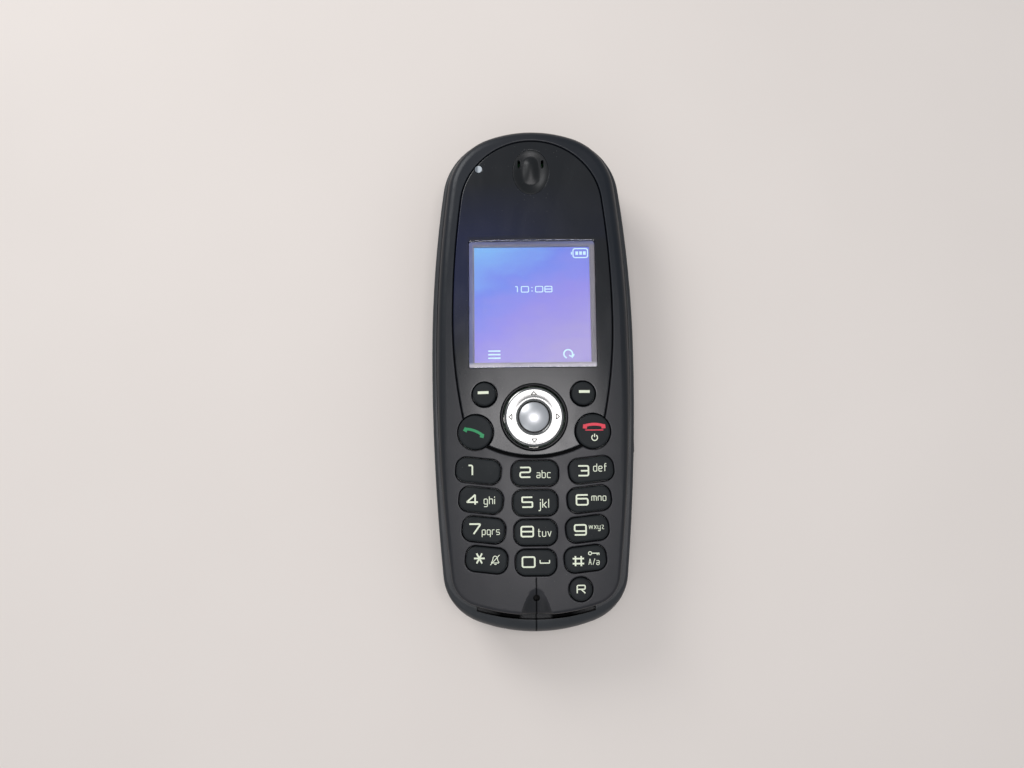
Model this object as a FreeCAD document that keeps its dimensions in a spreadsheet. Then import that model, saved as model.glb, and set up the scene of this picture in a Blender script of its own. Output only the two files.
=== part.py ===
"""Cordless telephone handset, lying on its back with the display up.

Frame: +X to the right of the display, +Y towards the earpiece, +Z out of the
display. The origin is the middle of the flat back. Lengths are in millimetres.
"""
import FreeCAD, Part
import math
import os
import re
import types

import Sketcher

SIZES = {
    # Rear shell outline: half width, its height of greatest width, ends and arc radii
    "half_width": 28.2,
    "widest_place": 6.0,
    "top_end": 70.1,
    "bottom_end": -70.6,
    "top_arc": 37.0,
    "shoulder_arc": 18.7,
    "upper_side_arc": 344.0,
    "lower_side_arc": 600.0,
    "corner_arc": 14.5,
    "bottom_arc": 46.0,
    # Front shell outline
    "front_step": 1.4,
    "front_top_end": 69.2,
    "front_bottom_end": -65.3,
    "front_top_arc": 38.0,
    "front_shoulder_arc": 17.4,
    "front_upper_side_arc": 360.0,
    "front_lower_side_arc": 450.0,
    "front_corner_arc": 8.5,
    "front_bottom_arc": 55.0,
    # Fascia outline
    "fascia_half_width": 22.2,
    "fascia_widest_place": 14.2,
    "fascia_top_end": 65.9,
    "fascia_bottom_end": -23.4,
    "fascia_top_arc": 20.5,
    "fascia_shoulder_arc": 18.4,
    "fascia_upper_side_arc": 262.0,
    "fascia_lower_side_arc": 132.0,
    "fascia_corner_arc": 6.3,
    "fascia_bottom_arc": 29.3,
    # Shells
    "parting_height": 17.0,
    "rear_wall": 1.6,
    "back_round": 9.0,
    "rim_rise": 2.8,
    "rim_round": 0.9,
    "chin_round": 3.4,
    "rim_shelf": 1.2,
    "rim_shelf_inset": 0.8,
    "moat_gap": 0.15,
    "moat_drop": 1.6,
    "moat_half": 16.0,
    "seam_gap": 0.15,
    "overcut": 1.0,
    "wall_sink": 0.2,
    "front_rise": 7.0,
    "crown_radius": 260.0,
    "front_wall": 2.4,
    "front_side_wall": 1.3,
    "front_edge_round": 2.6,
    "front_low_round": 0.8,
    # Fascia and display window
    "fascia_recess": 0.3,
    "fascia_thickness": 1.0,
    "fascia_bed": 0.1,
    "fascia_gap": 0.12,
    "window_width": 35.4,
    "window_length": 36.1,
    "window_place": 18.95,
    "window_corner": 0.6,
    "window_gap": 0.06,
    # Keys
    "key_gap": 0.22,
    "key_proud": 0.6,
    "key_edge_round": 0.45,
    "key_corner": 2.8,
    "key_height": 6.9,
    "key_centre_extra": 0.2,
    "key_tilt": 6.3,
    "row_pitch": 7.85,
    "outer_first_row": -27.25,
    "outer_column": 15.25,
    "outer_column_step": 0.7,
    "outer_key_width": 12.4,
    "outer_width_step": 0.33,
    "centre_first_row": -28.05,
    "centre_key_width": 12.9,
    "centre_width_step": 0.6,
    "flange_lift": 1.3,
    "flange_thickness": 0.6,
    "flange_lip": 0.3,
    "stem_radius": 1.5,
    "stem_lift": 0.8,
    "soft_key_column": 13.5,
    "soft_key_row": -6.5,
    "soft_key_radius": 3.42,
    "call_key_column": 16.0,
    "call_key_row": -16.85,
    "call_key_radius": 4.87,
    "recall_key_column": 11.8,
    "recall_key_row": -58.7,
    "recall_key_radius": 3.25,
    # Navigation ring, its bezel, its pivot and the key in its middle
    "nav_row": -12.8,
    "bezel_radius": 9.1,
    "bezel_bore": 8.45,
    "bezel_proud": 0.35,
    "bezel_round": 0.3,
    "bezel_lift": 0.02,
    "nav_opening": 8.6,
    "nav_radius": 8.1,
    "nav_bore": 4.35,
    "nav_proud": 0.5,
    "nav_dip": 0.35,
    "nav_neck": 7.9,
    "nav_flange_radius": 9.1,
    "nav_flange_lift": 1.8,
    "nav_plunger_place": 6.3,
    "nav_plunger_radius": 1.0,
    "pivot_outer": 4.6,
    "pivot_inner": 3.0,
    "pivot_lift": 1.0,
    "pivot_thickness": 0.55,
    "centre_key_radius": 4.05,
    "centre_key_lift": 2.4,
    "centre_key_proud": 0.2,
    "centre_key_dome": 0.9,
    # Earpiece, status light, microphone and the dished mouthpiece
    "ear_place": 56.7,
    "ear_half_width": 5.1,
    "ear_half_length": 6.55,
    "ear_gap": 0.06,
    "ear_dish": 0.7,
    "ear_sound_hole": 3.9,
    "nub_half_width": 3.1,
    "nub_half_length": 4.4,
    "nub_rise": 1.3,
    "nub_shift": 0.3,
    "nub_sink": 0.3,
    "ear_slot_place": 3.85,
    "ear_slot_shift": 2.0,
    "ear_slot_width": 0.7,
    "ear_slot_length": 2.4,
    "light_column": -14.8,
    "light_row": 57.8,
    "light_radius": 1.0,
    "light_gap": 0.08,
    "mic_row": -60.9,
    "mic_hole": 0.85,
    "scoop_apex": -58.5,
    "scoop_radius": 5.4,
    "scoop_slope": 18.0,
    "scoop_length": 12.0,
    # Circuit board and the parts on it
    "board_lift": 1.4,
    "board_thickness": 1.0,
    "board_gap": 0.5,
    "boss_hole_gap": 0.3,
    "dome_radius": 2.1,
    "dome_height": 0.35,
    "mat_thickness": 0.5,
    "mat_inset": 4.0,
    "mat_clearance": 1.95,
    "mat_hole": 2.5,
    "key_light_column": 7.4,
    "key_light_width": 1.6,
    "key_light_height": 0.5,
    "frame_width": 37.4,
    "frame_length": 40.0,
    "frame_step_height": 2.0,
    "frame_height": 3.5,
    "frame_lip_gap": 0.15,
    "panel_width": 33.6,
    "panel_length": 34.4,
    "panel_thickness": 2.0,
    "panel_lift": 0.3,
    "panel_gap": 0.1,
    "view_width": 32.4,
    "view_length": 33.0,
    "flex_width": 14.0,
    "flex_thickness": 0.25,
    "flex_run": 1.7,
    "ear_speaker_place": 54.0,
    "ear_speaker_radius": 6.3,
    "ear_speaker_height": 2.8,
    "ear_rim_height": 0.5,
    "ear_rim_inset": 0.6,
    "ear_rim_width": 1.0,
    "mic_radius": 2.0,
    "mic_height": 1.6,
    "seal_radius": 3.0,
    "seal_gap": 0.08,
    "shield_width": 30.0,
    "shield_length": 24.0,
    "shield_height": 2.4,
    "shield_place": 30.0,
    "shield_sheet": 0.3,
    "chip_side": 8.0,
    "chip_height": 1.0,
    "chip_pitch": 19.0,
    "chip_first_row": -44.0,
    "antenna_length": 22.0,
    "antenna_width": 2.5,
    "antenna_sheet": 0.3,
    "antenna_row": 64.4,
    "antenna_lift": 2.0,
    # Ringer in the rear shell
    "ringer_place": 42.0,
    "ringer_radius": 10.0,
    "ringer_height": 5.0,
    "ringer_magnet": 6.0,
    "ringer_gap": 0.25,
    "ringer_collar": 1.0,
    "ringer_collar_height": 3.4,
    "slot_length": 9.0,
    "slot_width": 1.1,
    "slot_pitch": 2.6,
    # Screws and bosses
    "upper_screw_column": 13.5,
    "upper_screw_row": 50.0,
    "lower_screw_column": 17.45,
    "lower_screw_row": -59.9,
    "screw_shank": 0.95,
    "screw_hole_gap": 0.1,
    "screw_head": 2.0,
    "screw_head_height": 1.5,
    "screw_head_sink": 0.9,
    "screw_grip": 2.0,
    "cross_length": 2.4,
    "cross_width": 0.56,
    "rear_boss": 3.4,
    "front_boss": 2.1,
    "head_gap": 0.2,
    # Battery bay, cells, contacts and cover
    "cover_edge": 12.0,
    "cover_height": 9.0,
    "cover_gap": 0.1,
    "tongue_column": 14.8,
    "tongue_width": 4.6,
    "tongue_reach": 2.4,
    "tongue_thickness": 1.0,
    "tongue_root": 4.0,
    "grip_length": 16.0,
    "grip_width": 1.2,
    "grip_depth": 0.5,
    "grip_pitch": 2.8,
    "grip_place": 1.0,
    "deck_gap": 0.6,
    "deck_thickness": 1.2,
    "bay_wall": 1.2,
    "bay_rim": 3.0,
    "bay_side_gap": 0.5,
    "bay_end": -4.0,
    "cell_radius": 5.25,
    "cell_length": 44.5,
    "cell_nub_radius": 1.9,
    "cell_nub": 0.8,
    "cell_gap": 0.4,
    "contact_sheet": 0.3,
    "contact_width": 8.0,
    "contact_height": 7.0,
    "spring_reach": 3.6,
    "spring_width": 5.0,
    "contact_play": 0.1,
    # Side key and its switch
    "side_key_place": -17.75,
    "side_key_length": 10.4,
    "side_key_height": 3.4,
    "side_key_drop": 4.0,
    "side_key_round": 0.5,
    "side_key_proud": 0.7,
    "side_key_corner": 1.2,
    "side_key_gap": 0.25,
    "side_flange": 0.5,
    "side_flange_gap": 0.55,
    "side_flange_thickness": 0.7,
    "side_nub": 0.9,
    "side_nub_reach": 0.6,
    "side_nub_place": 3.4,
    "side_switch_depth": 2.4,
    "side_switch_length": 9.0,
    "side_switch_height": 3.0,
    "side_switch_gap": 0.2,
    "side_board": 0.6,
    "side_notch": 0.6,
    # Charging contacts at the bottom end
    "charge_column": 4.75,
    "charge_width": 2.4,
    "charge_height": 2.2,
    "charge_level": 10.2,
    "charge_depth": 2.2,
    "charge_sink": 0.15,
    "charge_strip": 0.4,
    "charge_strip_width": 1.6,
    "charge_leg_row": -63.6,
    "charge_gap": 0.1,
    "strip_gap": 0.4,
}

# Sizes that follow from others
FOLLOWING = {
    "front_half_width": "half_width - front_step",
    "front_height": "parting_height + front_rise",
    "rim_level": "parting_height + rim_rise",
    "board_top": "parting_height + board_lift",
    "flange_level": "board_top + flange_lift",
    "stem_level": "board_top + stem_lift",
    "nav_flange_level": "board_top + nav_flange_lift",
    "nav_top": "front_height + nav_proud",
    "pivot_level": "board_top + pivot_lift",
    "centre_key_level": "board_top + centre_key_lift",
    "centre_key_edge": "front_height + centre_key_proud",
    "centre_key_ball": "(centre_key_radius ^ 2 + centre_key_dome ^ 2) / (2 * centre_key_dome)",
    "frame_step": "board_top + frame_step_height",
    "frame_top": "board_top + frame_height",
    "mat_top_edge": "window_place - frame_length / 2 - mat_clearance",
    "screw_tip": "parting_height + screw_grip",
    "cell_column": "cell_radius + bay_side_gap / 4",
    "cell_level": "rear_wall + cell_gap + cell_radius",
    "deck_level": "rear_wall + cell_gap + 2 * cell_radius + deck_gap",
    "bay_length": "cell_length + spring_reach + 2 * contact_sheet + 2 * contact_play",
    "bay_half": "2 * cell_radius + bay_side_gap",
    "bay_start": "bay_end - bay_length",
    "side_key_level": "parting_height - side_key_drop",
    "side_wall_reach": "sqrt(lower_side_arc ^ 2 - (side_key_place - widest_place) ^ 2)",
    "side_wall": "half_width - lower_side_arc + side_wall_reach",
    "side_flange_face": "side_wall - rear_wall - side_flange_gap",
    "side_switch_face": "side_flange_face - side_flange_thickness - side_nub_reach - side_switch_gap",
    "side_board_face": "side_switch_face - side_switch_depth - side_board",
    "charge_end": "bottom_end + charge_column ^ 2 / (2 * bottom_arc) + charge_sink",
}

ROWS = 4
SLOT_END = 0.49
FLAT = 0.01

doc = FreeCAD.newDocument("Handset")
parts_to_save = {}


def fill_sheet(name, contents):
    """A sheet with a word and its content on each line."""
    filled = doc.addObject("Spreadsheet::Sheet", name)
    for line, (alias, content) in enumerate(contents.items(), start=1):
        filled.set(f"A{line}", alias)
        filled.set(f"B{line}", content)
        filled.setAlias(f"B{line}", alias)
    doc.recompute()
    return filled


def from_sizes(text):
    """Point each driving size word of a formula at its cell."""
    return re.sub(r"[a-z_]+", lambda word: "Sizes." + word[0] if word[0] in SIZES else word[0], text)


def formula(text):
    """Point each size word of a formula at its cell in one of the two sheets."""
    return re.sub(r"[a-z_]+", lambda word: "Worked." + word[0] if word[0] in FOLLOWING else word[0],
                  from_sizes(text))


sizes_sheet = fill_sheet("Sizes", {alias: str(amount) for alias, amount in SIZES.items()})
worked_sheet = fill_sheet("Worked", {alias: "=" + from_sizes(text) for alias, text in FOLLOWING.items()})
S = types.SimpleNamespace(**{alias: float(sizes_sheet.get(alias)) for alias in SIZES},
                          **{alias: float(worked_sheet.get(alias)) for alias in FOLLOWING})


def bind(thing, **formulas):
    """Bind properties to formulas; a double underscore stands for a dot."""
    for name, text in formulas.items():
        thing.setExpression(name.replace("__", "."), formula(text))


def place(thing, x="0", y="0", z="0"):
    bind(thing, Placement__Base__x=x, Placement__Base__y=y, Placement__Base__z=z)


def keep(thing, node):
    """Name a finished sub-part and list it for saving."""
    thing.Label = node
    parts_to_save[node] = thing
    return thing


# Plain solids and the ways of joining them


def box(name, x, y, z, width, length, height):
    """A box from its lowest corner, every size a formula."""
    solid = doc.addObject("Part::Box", name)
    bind(solid, Length=width, Width=length, Height=height)
    place(solid, x, y, z)
    return solid


def middle_box(name, x, y, z, width, length, height):
    """A box centred on x and y that stands on the level z."""
    return box(name, f"{x} - ({width}) / 2", f"{y} - ({length}) / 2", z, width, length, height)


def rod(name, x, y, z, radius, height):
    """An upright cylinder standing on the level z."""
    solid = doc.addObject("Part::Cylinder", name)
    bind(solid, Radius=radius, Height=height)
    place(solid, x, y, z)
    return solid


def rod_along_y(name, x, y, z, radius, length):
    """A cylinder whose axis runs along +Y from y."""
    solid = doc.addObject("Part::Cylinder", name)
    solid.Placement = FreeCAD.Placement(FreeCAD.Vector(), FreeCAD.Rotation(FreeCAD.Vector(1, 0, 0), -90))
    bind(solid, Radius=radius, Height=length)
    place(solid, x, y, z)
    return solid


def cut(name, base, tool):
    result = doc.addObject("Part::Cut", name)
    result.Base = base
    result.Tool = tool
    return result


def common(name, base, tool):
    result = doc.addObject("Part::Common", name)
    result.Base = base
    result.Tool = tool
    return result


def fuse(name, solids):
    result = doc.addObject("Part::MultiFuse", name)
    result.Shapes = solids
    return result


def group(name, solids):
    """Separate solids kept together as one sub-part."""
    result = doc.addObject("Part::Compound", name)
    result.Links = solids
    return result


def round_edges(name, base, radius, chosen):
    """Fillet the edges of a joined solid for which chosen(edge) holds."""
    doc.recompute()
    result = doc.addObject("Part::Fillet", name)
    result.Base = base
    numbers = [number for number, edge in enumerate(base.Shape.Edges, start=1) if chosen(edge)]
    result.Edges = [(number, radius, radius) for number in numbers]
    return result


def crown(name, rise):
    """The round bar whose upper side is the crowned front, raised or sunk by rise."""
    return rod_along_y(name, "0", "bottom_end * 2", "front_height - crown_radius",
                       f"crown_radius + ({rise})", "(top_end - bottom_end) * 2")


# Outlines


def meeting(centre_a, radius_a, centre_b, radius_b, upper):
    """Where two circles cross: the upper or the lower of the two points."""
    across = (centre_b[0] - centre_a[0], centre_b[1] - centre_a[1])
    apart = math.hypot(*across)
    along = (radius_a ** 2 - radius_b ** 2 + apart ** 2) / (2 * apart)
    aside = math.sqrt(max(radius_a ** 2 - along ** 2, 0.0))
    foot = [centre_a[i] + along * across[i] / apart for i in (0, 1)]
    points = [(foot[0] + side * aside * across[1] / apart, foot[1] - side * aside * across[0] / apart)
              for side in (1, -1)]
    return max(points, key=lambda point: point[1] if upper else -point[1])


def outline(prefix, inset=0.0, drop=0.0):
    """Ten tangent arcs, symmetric about Y, as (centre, radius, start, end), anticlockwise.

    The end arcs and side arcs have their centres on Y and on the widest line; each
    shoulder and corner arc is tangent to the two arcs that it joins. A drop moves the
    whole outline towards the bottom end.
    """
    def size(word):
        return getattr(S, f"{prefix}{word}")

    widest = getattr(S, f"{prefix}widest_place", S.widest_place)
    top = (0.0, size("top_end") - size("top_arc"))
    bottom = (0.0, size("bottom_end") + size("bottom_arc"))
    upper = (size("half_width") - size("upper_side_arc"), widest)
    lower = (size("half_width") - size("lower_side_arc"), widest)
    shoulder = meeting(upper, size("upper_side_arc") - size("shoulder_arc"),
                       top, size("top_arc") - size("shoulder_arc"), True)
    corner = meeting(lower, size("lower_side_arc") - size("corner_arc"),
                     bottom, size("bottom_arc") - size("corner_arc"), False)

    def direction(centre, point):
        return math.atan2(point[1] - centre[1], point[0] - centre[0])

    to_top = direction(top, shoulder)
    to_upper = direction(upper, shoulder)
    to_lower = direction(lower, corner)
    to_bottom = direction(bottom, corner)
    right = [
        (corner, size("corner_arc"), to_bottom, to_lower),
        (lower, size("lower_side_arc"), to_lower, 0.0),
        (upper, size("upper_side_arc"), 0.0, to_upper),
        (shoulder, size("shoulder_arc"), to_upper, to_top),
    ]
    left = [((-centre[0], centre[1]), radius, math.pi - end, math.pi - start)
            for centre, radius, start, end in reversed(right)]
    arcs = ([(bottom, size("bottom_arc"), -math.pi - to_bottom, to_bottom)] + right
            + [(top, size("top_arc"), to_top, math.pi - to_top)] + left)
    return [arc_of((centre[0], centre[1] - drop), radius - inset, start, end)
            for centre, radius, start, end in arcs]


def arc_of(centre, radius, start, end):
    circle = Part.Circle(FreeCAD.Vector(centre[0], centre[1], 0), FreeCAD.Vector(0, 0, 1), radius)
    return Part.ArcOfCircle(circle, start, end)


def round_box(x, y, width, length, corner, turn=0.0):
    """A rectangle with round corners, turned about its middle, anticlockwise."""
    turned = FreeCAD.Rotation(FreeCAD.Vector(0, 0, 1), turn)
    middle = FreeCAD.Vector(x, y, 0)
    curves = []
    half = (width / 2 - corner, length / 2 - corner)
    for quarter, (right, up) in enumerate(((1, 1), (-1, 1), (-1, -1), (1, -1))):
        centre = FreeCAD.Vector(right * half[0], up * half[1], 0)
        start = math.radians(90 * quarter)
        world = middle + turned.multVec(centre)
        spin = math.radians(turn)
        curves.append(arc_of((world.x, world.y), corner, start + spin, start + spin + math.pi / 2))
    edges = []
    for number, curve in enumerate(curves):
        following = curves[(number + 1) % len(curves)]
        edges.append(curve)
        edges.append(Part.LineSegment(curve.EndPoint, following.StartPoint))
    return edges


def circle(x, y, radius):
    return [Part.Circle(FreeCAD.Vector(x, y, 0), FreeCAD.Vector(0, 0, 1), radius)]


def polygon(points):
    corners = [FreeCAD.Vector(x, y, 0) for x, y in points]
    return [Part.LineSegment(corner, corners[(number + 1) % len(corners)])
            for number, corner in enumerate(corners)]


# Bodies made from sketches


def new_body(name):
    return doc.addObject("PartDesign::Body", name)


def touching_ends(sketch, first, second):
    """Which end, 1 or 2, of each of two curves lies on the other curve's."""
    pairs = [(mine, theirs) for mine in (1, 2) for theirs in (1, 2)]
    return min(pairs, key=lambda pair: (sketch.getPoint(first, pair[0])
                                        - sketch.getPoint(second, pair[1])).Length)


def draw(body, name, loops, level="0", role="XY_Plane"):
    """A sketch on one of the body's own planes, each loop closed by coincident ends."""
    sketch = body.newObject("Sketcher::SketchObject", name)
    plane = next(feature for feature in body.Origin.OriginFeatures if feature.Role == role)
    sketch.AttachmentSupport = [(plane, "")]
    sketch.MapMode = "FlatFace"
    sketch.setExpression("AttachmentOffset.Base.z", formula(level))
    for loop in loops:
        first = sketch.GeometryCount
        for curve in loop:
            sketch.addGeometry(curve, False)
        if len(loop) == 1:
            continue
        for number in range(len(loop)):
            following = first + (number + 1) % len(loop)
            mine, theirs = touching_ends(sketch, first + number, following)
            sketch.addConstraint(Sketcher.Constraint("Coincident", first + number, mine, following, theirs))
    return sketch


def pad(body, name, loops, level, height, role="XY_Plane"):
    """Pad loops from a level; the height is a formula."""
    sketch = draw(body, name + "_sketch", loops, level, role)
    feature = body.newObject("PartDesign::Pad", name)
    feature.Profile = sketch
    bind(feature, Length=height)
    return feature


def prism(name, loops, level, height):
    """A body with one pad."""
    body = new_body(name)
    pad(body, name + "_pad", loops, level, height)
    return body


def soften(body, base, name, radius, chosen):
    """A fillet in a body on the edges of its last feature for which chosen(edge) holds."""
    doc.recompute()
    feature = body.newObject("PartDesign::Fillet", name)
    edges = [f"Edge{number}" for number, edge in enumerate(base.Shape.Edges, start=1) if chosen(edge)]
    feature.Base = (base, edges)
    bind(feature, Radius=radius)
    return feature


def turned_body(name, points, y):
    """A body turned about an upright axis at x 0, y, from (radius, height) corners."""
    body = new_body(name)
    sketch = draw(body, name + "_section", [polygon(points)], role="XZ_Plane")
    feature = body.newObject("PartDesign::Revolution", name + "_turning")
    feature.Profile = sketch
    feature.ReferenceAxis = (sketch, ["V_Axis"])
    feature.Angle = 360.0
    place(body, y=y)
    return body, feature


def lies_at(level):
    """Chooser for edges that lie flat at a level."""
    return lambda edge: abs(edge.BoundBox.ZMin - level) < FLAT and abs(edge.BoundBox.ZMax - level) < FLAT


# Where the keys are


def key_list():
    """Each key as a dictionary: node, place, opening and turn."""
    keys = []
    names = (("key_1", "key_2", "key_3"), ("key_4", "key_5", "key_6"),
             ("key_7", "key_8", "key_9"), ("key_star", "key_0", "key_hash"))
    for row in range(ROWS):
        outer_x = S.outer_column - row * S.outer_column_step
        outer_y = S.outer_first_row - row * S.row_pitch
        outer_width = S.outer_key_width - row * S.outer_width_step
        centre_y = S.centre_first_row - row * S.row_pitch
        centre_width = S.centre_key_width - row * S.centre_width_step
        for side, node in ((-1, names[row][0]), (1, names[row][2])):
            keys.append({"node": node, "x": side * outer_x, "y": outer_y, "width": outer_width,
                         "length": S.key_height, "turn": side * S.key_tilt})
        keys.append({"node": names[row][1], "x": 0.0, "y": centre_y, "width": centre_width,
                     "length": S.key_height + S.key_centre_extra, "turn": 0.0})
    round_keys = (
        ("soft_key_left", -S.soft_key_column, S.soft_key_row, S.soft_key_radius),
        ("soft_key_right", S.soft_key_column, S.soft_key_row, S.soft_key_radius),
        ("call_key", -S.call_key_column, S.call_key_row, S.call_key_radius),
        ("end_key", S.call_key_column, S.call_key_row, S.call_key_radius),
        ("recall_key", S.recall_key_column, S.recall_key_row, S.recall_key_radius),
    )
    for node, x, y, radius in round_keys:
        keys.append({"node": node, "x": x, "y": y, "radius": radius})
    return keys


def key_loop(key, growth):
    """The opening of a key, larger or smaller all round by growth."""
    if "radius" in key:
        return circle(key["x"], key["y"], key["radius"] + growth)
    return round_box(key["x"], key["y"], key["width"] + 2 * growth, key["length"] + 2 * growth,
                     S.key_corner + growth, key["turn"])


def screw_places():
    upper = [(side * S.upper_screw_column, S.upper_screw_row) for side in (-1, 1)]
    lower = [(side * S.lower_screw_column, S.lower_screw_row) for side in (-1, 1)]
    return upper, lower


def plunger_places():
    """The four sides of the navigation ring: right, top, left and bottom."""
    reach = S.nav_plunger_place
    return [(reach, S.nav_row), (0.0, S.nav_row + reach), (-reach, S.nav_row), (0.0, S.nav_row - reach)]


def dome_places():
    """One dome under each key, under the middle key and under each side of the ring."""
    return [(key["x"], key["y"]) for key in key_list()] + [(0.0, S.nav_row)] + plunger_places()


def key_light_places():
    return [(side * S.key_light_column, S.outer_first_row - (row + 0.5) * S.row_pitch)
            for row in range(ROWS - 1) for side in (-1, 1)]


# Rear shell and battery cover


def round_by_place(name, solid, chosen, radius_at):
    """Fillet the chosen edges, each running between the radii at its two ends."""
    doc.recompute()
    result = doc.addObject("Part::Fillet", name)
    result.Base = solid
    fillets = []
    for number, edge in enumerate(solid.Shape.Edges, start=1):
        if chosen(edge):
            ends = (edge.valueAt(edge.FirstParameter), edge.valueAt(edge.LastParameter))
            fillets.append((number, radius_at(ends[0].y), radius_at(ends[1].y)))
    result.Edges = fillets
    return result


def moat():
    """The seam round the foot of the front shell, widened to a groove along the chin."""
    seam = prism("moat_seam", [outline("front_", -S.moat_gap)], "parting_height", "rim_rise + overcut")
    lowered = prism("moat_lowered", [outline("front_", -S.moat_gap, S.moat_drop)], "parting_height",
                    "rim_rise + overcut")
    zone = box("moat_zone", "-moat_half", "2 * bottom_end", "0", "2 * moat_half", "-2 * bottom_end",
               "front_height")
    return fuse("moat", [seam, common("moat_chin", lowered, zone)])


def hollow_back():
    """The whole rounded back with its even wall and raised rim, before the cover is parted from it."""
    block = new_body("back_block")
    pad(block, "back_block_pad", [outline("")], "0", "rim_level")
    rounded = round_edges("back_rounded", block, S.back_round, lies_at(0.0))
    outside = round_by_place("back_outside", rounded, lies_at(S.rim_level),
                             lambda place: (S.chin_round if place < S.bottom_end + S.corner_arc / 2
                                            else S.rim_round))
    inside = new_body("back_inside")
    core = pad(inside, "back_core", [outline("", S.rear_wall)], "rear_wall", "parting_height - rear_wall")
    soften(inside, core, "back_core_rounding", "back_round - rear_wall", lies_at(S.rear_wall))
    wall = cut("back_wall", outside, inside)
    return cut("back_moated", wall, moat())


def cover_zone(name, gap):
    """The part of the back that the cover takes, up to its front edge and its side edges."""
    return box(name, "-2 * half_width", "2 * bottom_end", "-overcut", "4 * half_width",
               f"cover_edge - 2 * bottom_end - {gap}", f"cover_height + overcut - {gap}")


def deck():
    """The plate over the battery bay, with a notch at the side key and two contact slots."""
    plate = prism("deck_plate", [outline("", S.rear_wall - S.wall_sink)], "deck_level", "deck_thickness")
    zone = box("deck_zone", "-2 * half_width", "2 * bottom_end", "0", "4 * half_width",
               "cover_edge + bay_wall - 2 * bottom_end", "front_height")
    notch = box("deck_side_notch", "side_board_face - side_notch",
                "side_key_place - side_key_length / 2 - side_flange - 2 * side_notch",
                "deck_level - overcut", "side_wall - rear_wall - side_board_face + side_notch",
                "side_key_length + 2 * side_flange + 4 * side_notch", "deck_thickness + 2 * overcut")
    slots = [middle_box(f"deck_slot_{name}", f"{sign}charge_column", "charge_leg_row + charge_strip / 2",
                        "deck_level - overcut", "charge_strip_width + 2 * strip_gap",
                        "charge_strip + 3 * strip_gap", "deck_thickness + 2 * overcut")
             for name, sign in (("left", "-"), ("right", ""))]
    return cut("deck", common("deck_trimmed", plate, zone), fuse("deck_cuts", [notch] + slots))


def bay_walls():
    """Four walls round the two cells, from the deck down to just above the cover."""
    outer = box("bay_outer", "-bay_half - bay_wall", "bay_start - bay_wall", "bay_rim",
                "2 * bay_half + 2 * bay_wall", "bay_length + 2 * bay_wall",
                "deck_level - bay_rim + wall_sink")
    inner = box("bay_inner", "-bay_half", "bay_start", "bay_rim - overcut", "2 * bay_half", "bay_length",
                "deck_level - bay_rim + 2 * overcut")
    return cut("bay_walls", outer, inner)


def bulkhead():
    """The cross wall at the cover's front edge, open below for the cover's tongue."""
    wall = box("bulkhead_block", "-2 * half_width", "cover_edge",
               "rear_wall + tongue_thickness + 3 * cover_gap", "4 * half_width", "bay_wall",
               "deck_level - rear_wall")
    core = new_body("bulkhead_core")
    block = pad(core, "bulkhead_core_block", [outline("", S.rear_wall - S.wall_sink)],
                "rear_wall - wall_sink", "deck_level - rear_wall + 2 * wall_sink")
    soften(core, block, "bulkhead_core_rounding", "back_round - rear_wall",
           lies_at(S.rear_wall - S.wall_sink))
    return common("bulkhead", wall, core)


def rim_shelf():
    """The inward ledge at the parting line that carries the front shell and closes the chin."""
    ring = prism("rim_ring", [outline("", S.rim_shelf_inset)], "parting_height - rim_shelf", "rim_shelf")
    hole = prism("rim_hole", [outline("front_", S.front_side_wall)], "parting_height - rim_shelf - overcut",
                 "rim_shelf + 2 * overcut")
    return cut("rim_shelf_ring", ring, hole)


def rear_shell():
    wall = hollow_back()
    solids = [cut("back_above_cover", wall, cover_zone("cover_space", "0")), deck(), bay_walls(), bulkhead(),
              rim_shelf()]
    for name, sign in (("left", "-"), ("right", "")):
        solids.append(rod(f"rear_boss_{name}", f"{sign}upper_screw_column", "upper_screw_row",
                          "rear_wall / 2", "rear_boss", "parting_height - rear_wall / 2"))
    collar = cut("ringer_collar_ring",
                 rod("ringer_collar_outer", "0", "ringer_place", "rear_wall / 2",
                     "ringer_radius + ringer_gap + ringer_collar", "ringer_collar_height + rear_wall / 2"),
                 rod("ringer_collar_inner", "0", "ringer_place", "0", "ringer_radius + ringer_gap",
                     "ringer_collar_height + 2 * rear_wall"))
    solids.append(collar)
    joined = fuse("rear_shell_joined", solids)
    cuts = []
    for name, sign in (("left", "-"), ("right", "")):
        cuts.append(rod(f"rear_boss_hole_{name}", f"{sign}upper_screw_column", "upper_screw_row", "-overcut",
                        "screw_shank + screw_hole_gap", "parting_height + 2 * overcut"))
        cuts.append(rod(f"rear_boss_sink_{name}", f"{sign}upper_screw_column", "upper_screw_row", "-overcut",
                        "screw_head + head_gap", "screw_head_sink + screw_head_height + overcut"))
        cuts.append(rod(f"deck_screw_hole_{name}", f"{sign}lower_screw_column", "lower_screw_row",
                        "deck_level - overcut", "screw_shank + screw_hole_gap",
                        "parting_height - deck_level + 2 * overcut"))
        cuts.append(middle_box(f"charge_window_{name}", f"{sign}charge_column",
                               "bottom_end + charge_depth / 2", "charge_level - charge_gap",
                               "charge_width + 2 * charge_gap", "charge_depth * 3",
                               "charge_height + 2 * charge_gap"))
    slots = [round_box(0.0, S.ringer_place + step * S.slot_pitch, S.slot_length - abs(step) * S.slot_width,
                       S.slot_width, S.slot_width * SLOT_END) for step in range(-2, 3)]
    cuts.append(prism("ringer_slots", slots, "-overcut", "rear_wall + 2 * overcut"))
    cuts.append(side_key_window())
    cuts.append(box("side_board_notch", "side_board_face - side_notch",
                    "side_key_place - side_switch_length / 2 - side_notch", "deck_level",
                    "side_board + 2 * side_notch", "side_switch_length + 2 * side_notch",
                    "parting_height - deck_level + overcut"))
    return keep(cut("rear_shell", joined, fuse("rear_shell_cuts", cuts)), "rear_shell")


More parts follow.
